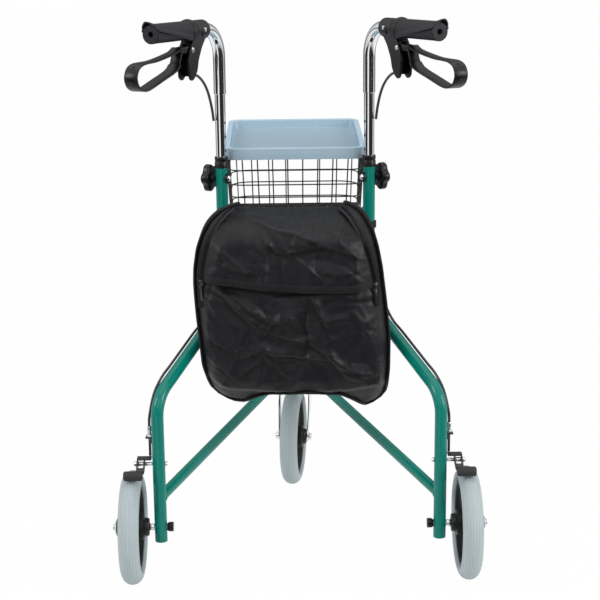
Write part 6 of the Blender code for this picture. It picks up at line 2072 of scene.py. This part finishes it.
    def make_binding(self) -> bpy.types.Object:
        """The bound edge round the whole front, thicker where it turns over at the top corners."""
        form = Form()
        ring = [(-1.0, 1 - i / 59) for i in range(60)]
        ring += [(-1.0 + 2 * i / 50, 0.0) for i in range(1, 50)]
        ring += [(1.0, i / 59) for i in range(60)]
        points = []
        for across, rise in ring:
            out = copysign(0.0015, across) if abs(across) > 0.9 else 0.0
            points.append(self.front_point(across, rise) + Vector((out, -0.002, 0.0)))
        humps = [eased((point.z - 0.600) / 0.02) for point in points]
        scales = [(1.0 + 0.9 * hump, 1.0 + 0.5 * hump) for hump in humps]
        middle = [(a + b * 2 + c) / 4 for a, b, c in zip(points, points[1:], points[2:])]
        oval = [(0.0042 * cos(t), 0.0027 * sin(t)) for t in turns(14)]
        form.sweep(places_along([points[0], *middle, points[-1]], Vector((0, -1, 0.15))), oval, scales=scales)
        return form.piece("bag_binding", "head", TAPE, sharper=70)

    def zip_line(self, side: Side) -> tuple[list[Vector], list[Vector]]:
        """The line of a zip beside the flap, from the top down, and the way out at each of its points."""
        is_left = side is Side.LEFT
        edge, outline = (self.flap_left, self.left_edge) if is_left else (self.flap_right, self.right_edge)
        high, low = self.zip_ends
        points, outs = [], []
        for i in range(80):
            up = high - (high - low) * i / 79
            x = table(edge, max(up, 0.500)) + side.value * 0.0045
            limit = table(outline, up) - side.value * 0.007
            x = max(x, limit) if is_left else min(x, limit)
            points.append(self.surface(x, up, 0.0046))
            outs.append((self.way_out(x, up) + Vector((side.value * 0.004, 0, 0))).normalized())
        return points, outs

    def make_zip(self, side: Side) -> list[bpy.types.Object]:
        """One side's zip: its tape, the row of teeth, and the slider with its pull."""
        points, outs = self.zip_line(side)
        tape, teeth, pull = (Form(side.word) for _ in range(3))
        self.band(tape, points, outs, 0.017, 0.0012)
        lengths = [0.0]
        for a, b in pairwise(points):
            lengths.append(lengths[-1] + (b - a).length)
        for k in range(int(lengths[-1] / self.tooth_pitch)):
            at = (k + 0.5) * self.tooth_pitch
            i = max(0, min(len(points) - 2, bisect_right(lengths, at) - 1))
            start, end, out = points[i], points[i + 1], outs[i]
            here = start.lerp(end, (at - lengths[i]) / (lengths[i + 1] - lengths[i]))
            along = (end - start).normalized()
            cross = along.cross(out).normalized()
            middle = here + out * 0.0011 + cross * (0.0006 if k % 2 else -0.0006)
            teeth.block((0.0010, 0.0042, 0.0012), axes(along, cross, out, middle))
        i = 62 if side is Side.RIGHT else 58
        here, out = points[i], outs[i]
        along = (points[i + 1] - points[i - 1]).normalized()
        for size, proud, drop, bevel in mm(
            ((7.5, 10.5, 3), 2.6, 0, 1), ((4.6, 26, 1.2), 5.2, 18.5, 0.5), ((2.2, 7.5, 2.4), 4.6, 0, 0.8),
        ):
            middle = here + out * proud - UP * drop
            pull.block(size, axes(along.cross(out).normalized(), along, out, middle), bevel)
        return [
            tape.piece("zip_tape", "head", TAPE, sharper=60), teeth.piece("zip_teeth", "head", PLASTIC),
            pull.piece("zip_pull", "head", DARK_NICKEL),
        ]

    def make_strap(self, side: Side) -> None:
        """The strap that ties the bag to the upright: a loop round the tube and a short band to the bag."""
        upright = self.layout.side_place(side) @ Vector((self.layout.to_upright, 0, self.strap_z))
        half = 0.0115 + 0.0012
        loop = [upright + Vector((x, y, 0)) for x, y in circle(half, 40)]
        form, band = Form(side.word), strip(0.0125, 0.0019, 0.0005)
        form.sweep(places_along(loop, UP, ring=True), band, ring=True)
        corner = Vector((side.value * 0.1240, self.near + self.depth * 0.76, 0.5925))
        start = upright + Vector((-side.value * 0.004, -half, 0))
        path = smooth_path([start, start.lerp(corner, 0.5) + Vector((0, 0, 0.003)), corner], 8)
        form.sweep(places_along(path, UP), band)
        form.piece("bag_strap", "frame", TAPE, sharper=60)


# Studio


@dataclass
class Studio:
    """The pale floor, the soft lights and the camera."""

    focal_share: float = 1393.5 / 600
    pitch: float = radians(13.85)
    yaw: float = radians(-0.75)
    roll: float = radians(0.56)
    eye: Triple = (-0.027, -2.531, 1.075)
    sensor: float = 36.0
    floor_half: float = 30.0

    def build(self) -> None:
        """Sets up the camera, the floor, the world and the lamps."""
        bpy.context.scene.view_settings.view_transform = "Standard"
        self.make_camera()
        self.make_floor()
        self.make_world()
        self.make_lamps()

    def make_camera(self) -> None:
        """The camera at the photograph's place and angle."""
        forward = Vector((-sin(self.yaw) * cos(self.pitch), cos(self.yaw) * cos(self.pitch), -sin(self.pitch)))
        right = Vector((cos(self.yaw), sin(self.yaw), 0.0))
        up = right.cross(forward)
        c, s = cos(self.roll), sin(self.roll)
        data = bpy.data.cameras.new("camera")
        data.sensor_width = self.sensor
        data.lens = self.sensor * self.focal_share
        data.clip_end = 100.0
        camera = linked("camera", data)
        camera.matrix_world = axes(right * c - up * s, right * s + up * c, -forward, self.eye)
        bpy.context.scene.camera = camera

    def make_floor(self) -> None:
        """A white floor that keeps a soft shadow under the wheels."""
        material = bpy.data.materials.new("studio_floor")
        graph = Graph(material)
        graph.set(Base_Color=(0.92, 0.92, 0.92, 1.0), Roughness=0.85, Specular_IOR_Level=0.1)
        dark, white = (graph.add("Emission", {}, {"Color": WHITE, "Strength": s})[0] for s in (0.018, 1.0))
        camera, glossy = graph.rays("Camera", "Glossy")
        x, y, _ = graph.parts(graph.places)
        strip_light = graph.maths("COMPARE", graph.maths("DIVIDE", x, y), 0.42, 0.30)
        lit = graph.maths("MAXIMUM", strip_light, graph.ramp(y, (-1.1, -0.1))) * graph.ramp(y, (1.0, 3.0), (1.0, 0.20))
        glow = graph.add("MixShader", {}, {0: graph.maths("MAXIMUM", camera, lit), 1: dark, 2: white})[0]
        share = graph.maths("MAXIMUM", camera, glossy) * 0.98
        mix = graph.add("MixShader", {}, {0: share, 1: graph.shader.outputs[0], 2: glow})[0]
        graph.feed(graph.nodes["Material Output"].inputs["Surface"], mix)
        form = Form()
        ops.create_grid(form.bm, x_segments=1, y_segments=1, size=self.floor_half)
        mesh = form.mesh("floor")
        mesh.materials.append(material)
        linked("floor", mesh)

    def make_world(self) -> None:
        """White behind the rollator, and a dimmer room behind the camera for the chrome to show."""
        world = bpy.data.worlds.new("studio")
        bpy.context.scene.world = world
        graph = Graph(world)
        diffuse, glossy, camera, passing = graph.rays("Diffuse", "Glossy", "Camera", "Transmission")
        _, y, _ = graph.parts(graph.coordinates["Generated"])
        room = graph.ramp(y, (-0.95, -0.45), (0.05, 1.0)) * graph.ramp(y, (0.55, 0.93), (1.0, 0.20))
        seen = graph.maths("MAXIMUM", camera, passing)
        graph.set(Color=WHITE, Strength=diffuse * 0.48 + glossy * room + seen)

    def make_lamps(self) -> None:
        """A broad overhead lamp, a key from the left, and weaker ones from the right and the front."""
        lamps = (
            ("overhead", (0.0, -0.3, 3.0), 0.4, 2.6, 19.0),
            ("left_key", (-2.6, -1.3, 2.0), 0.5, 1.0, 34.0),
            ("right_fill", (2.4, -1.4, 1.5), 0.5, 1.3, 38.0),
            ("front_fill", (0.2, -3.4, 2.2), 0.5, 1.8, 16.0),
        )
        for name, at, aim_z, size, power in lamps:
            data = bpy.data.lights.new(name, "AREA")
            data.shape, data.size, data.energy = "SQUARE", size, power
            lamp = linked(name, data)
            lamp.location = at
            lamp.rotation_euler = (Vector((0.0, 0.0, aim_z)) - Vector(at)).to_track_quat("-Z", "Y").to_euler()


def main() -> None:
    """Builds the studio and then the rollator, part by part."""
    layout = Layout.of_frame()
    Studio().build()
    for side in Side:
        Cables(layout, side).build()
    for side in Side:
        for part in (SideFrame, Brake, Clamp, Handle):
            part(layout, side).build()
        for dressing in TWINS:
            dressing.build(side.word)
    Head(layout).build()
    Castor(layout).build()
    for dressing in SINGLE:
        dressing.build()
    build_wheels(layout)
    Basket(layout).build()
    Tray(layout).build()
    Bag(layout).build()


if __name__ == "__main__":
    main()
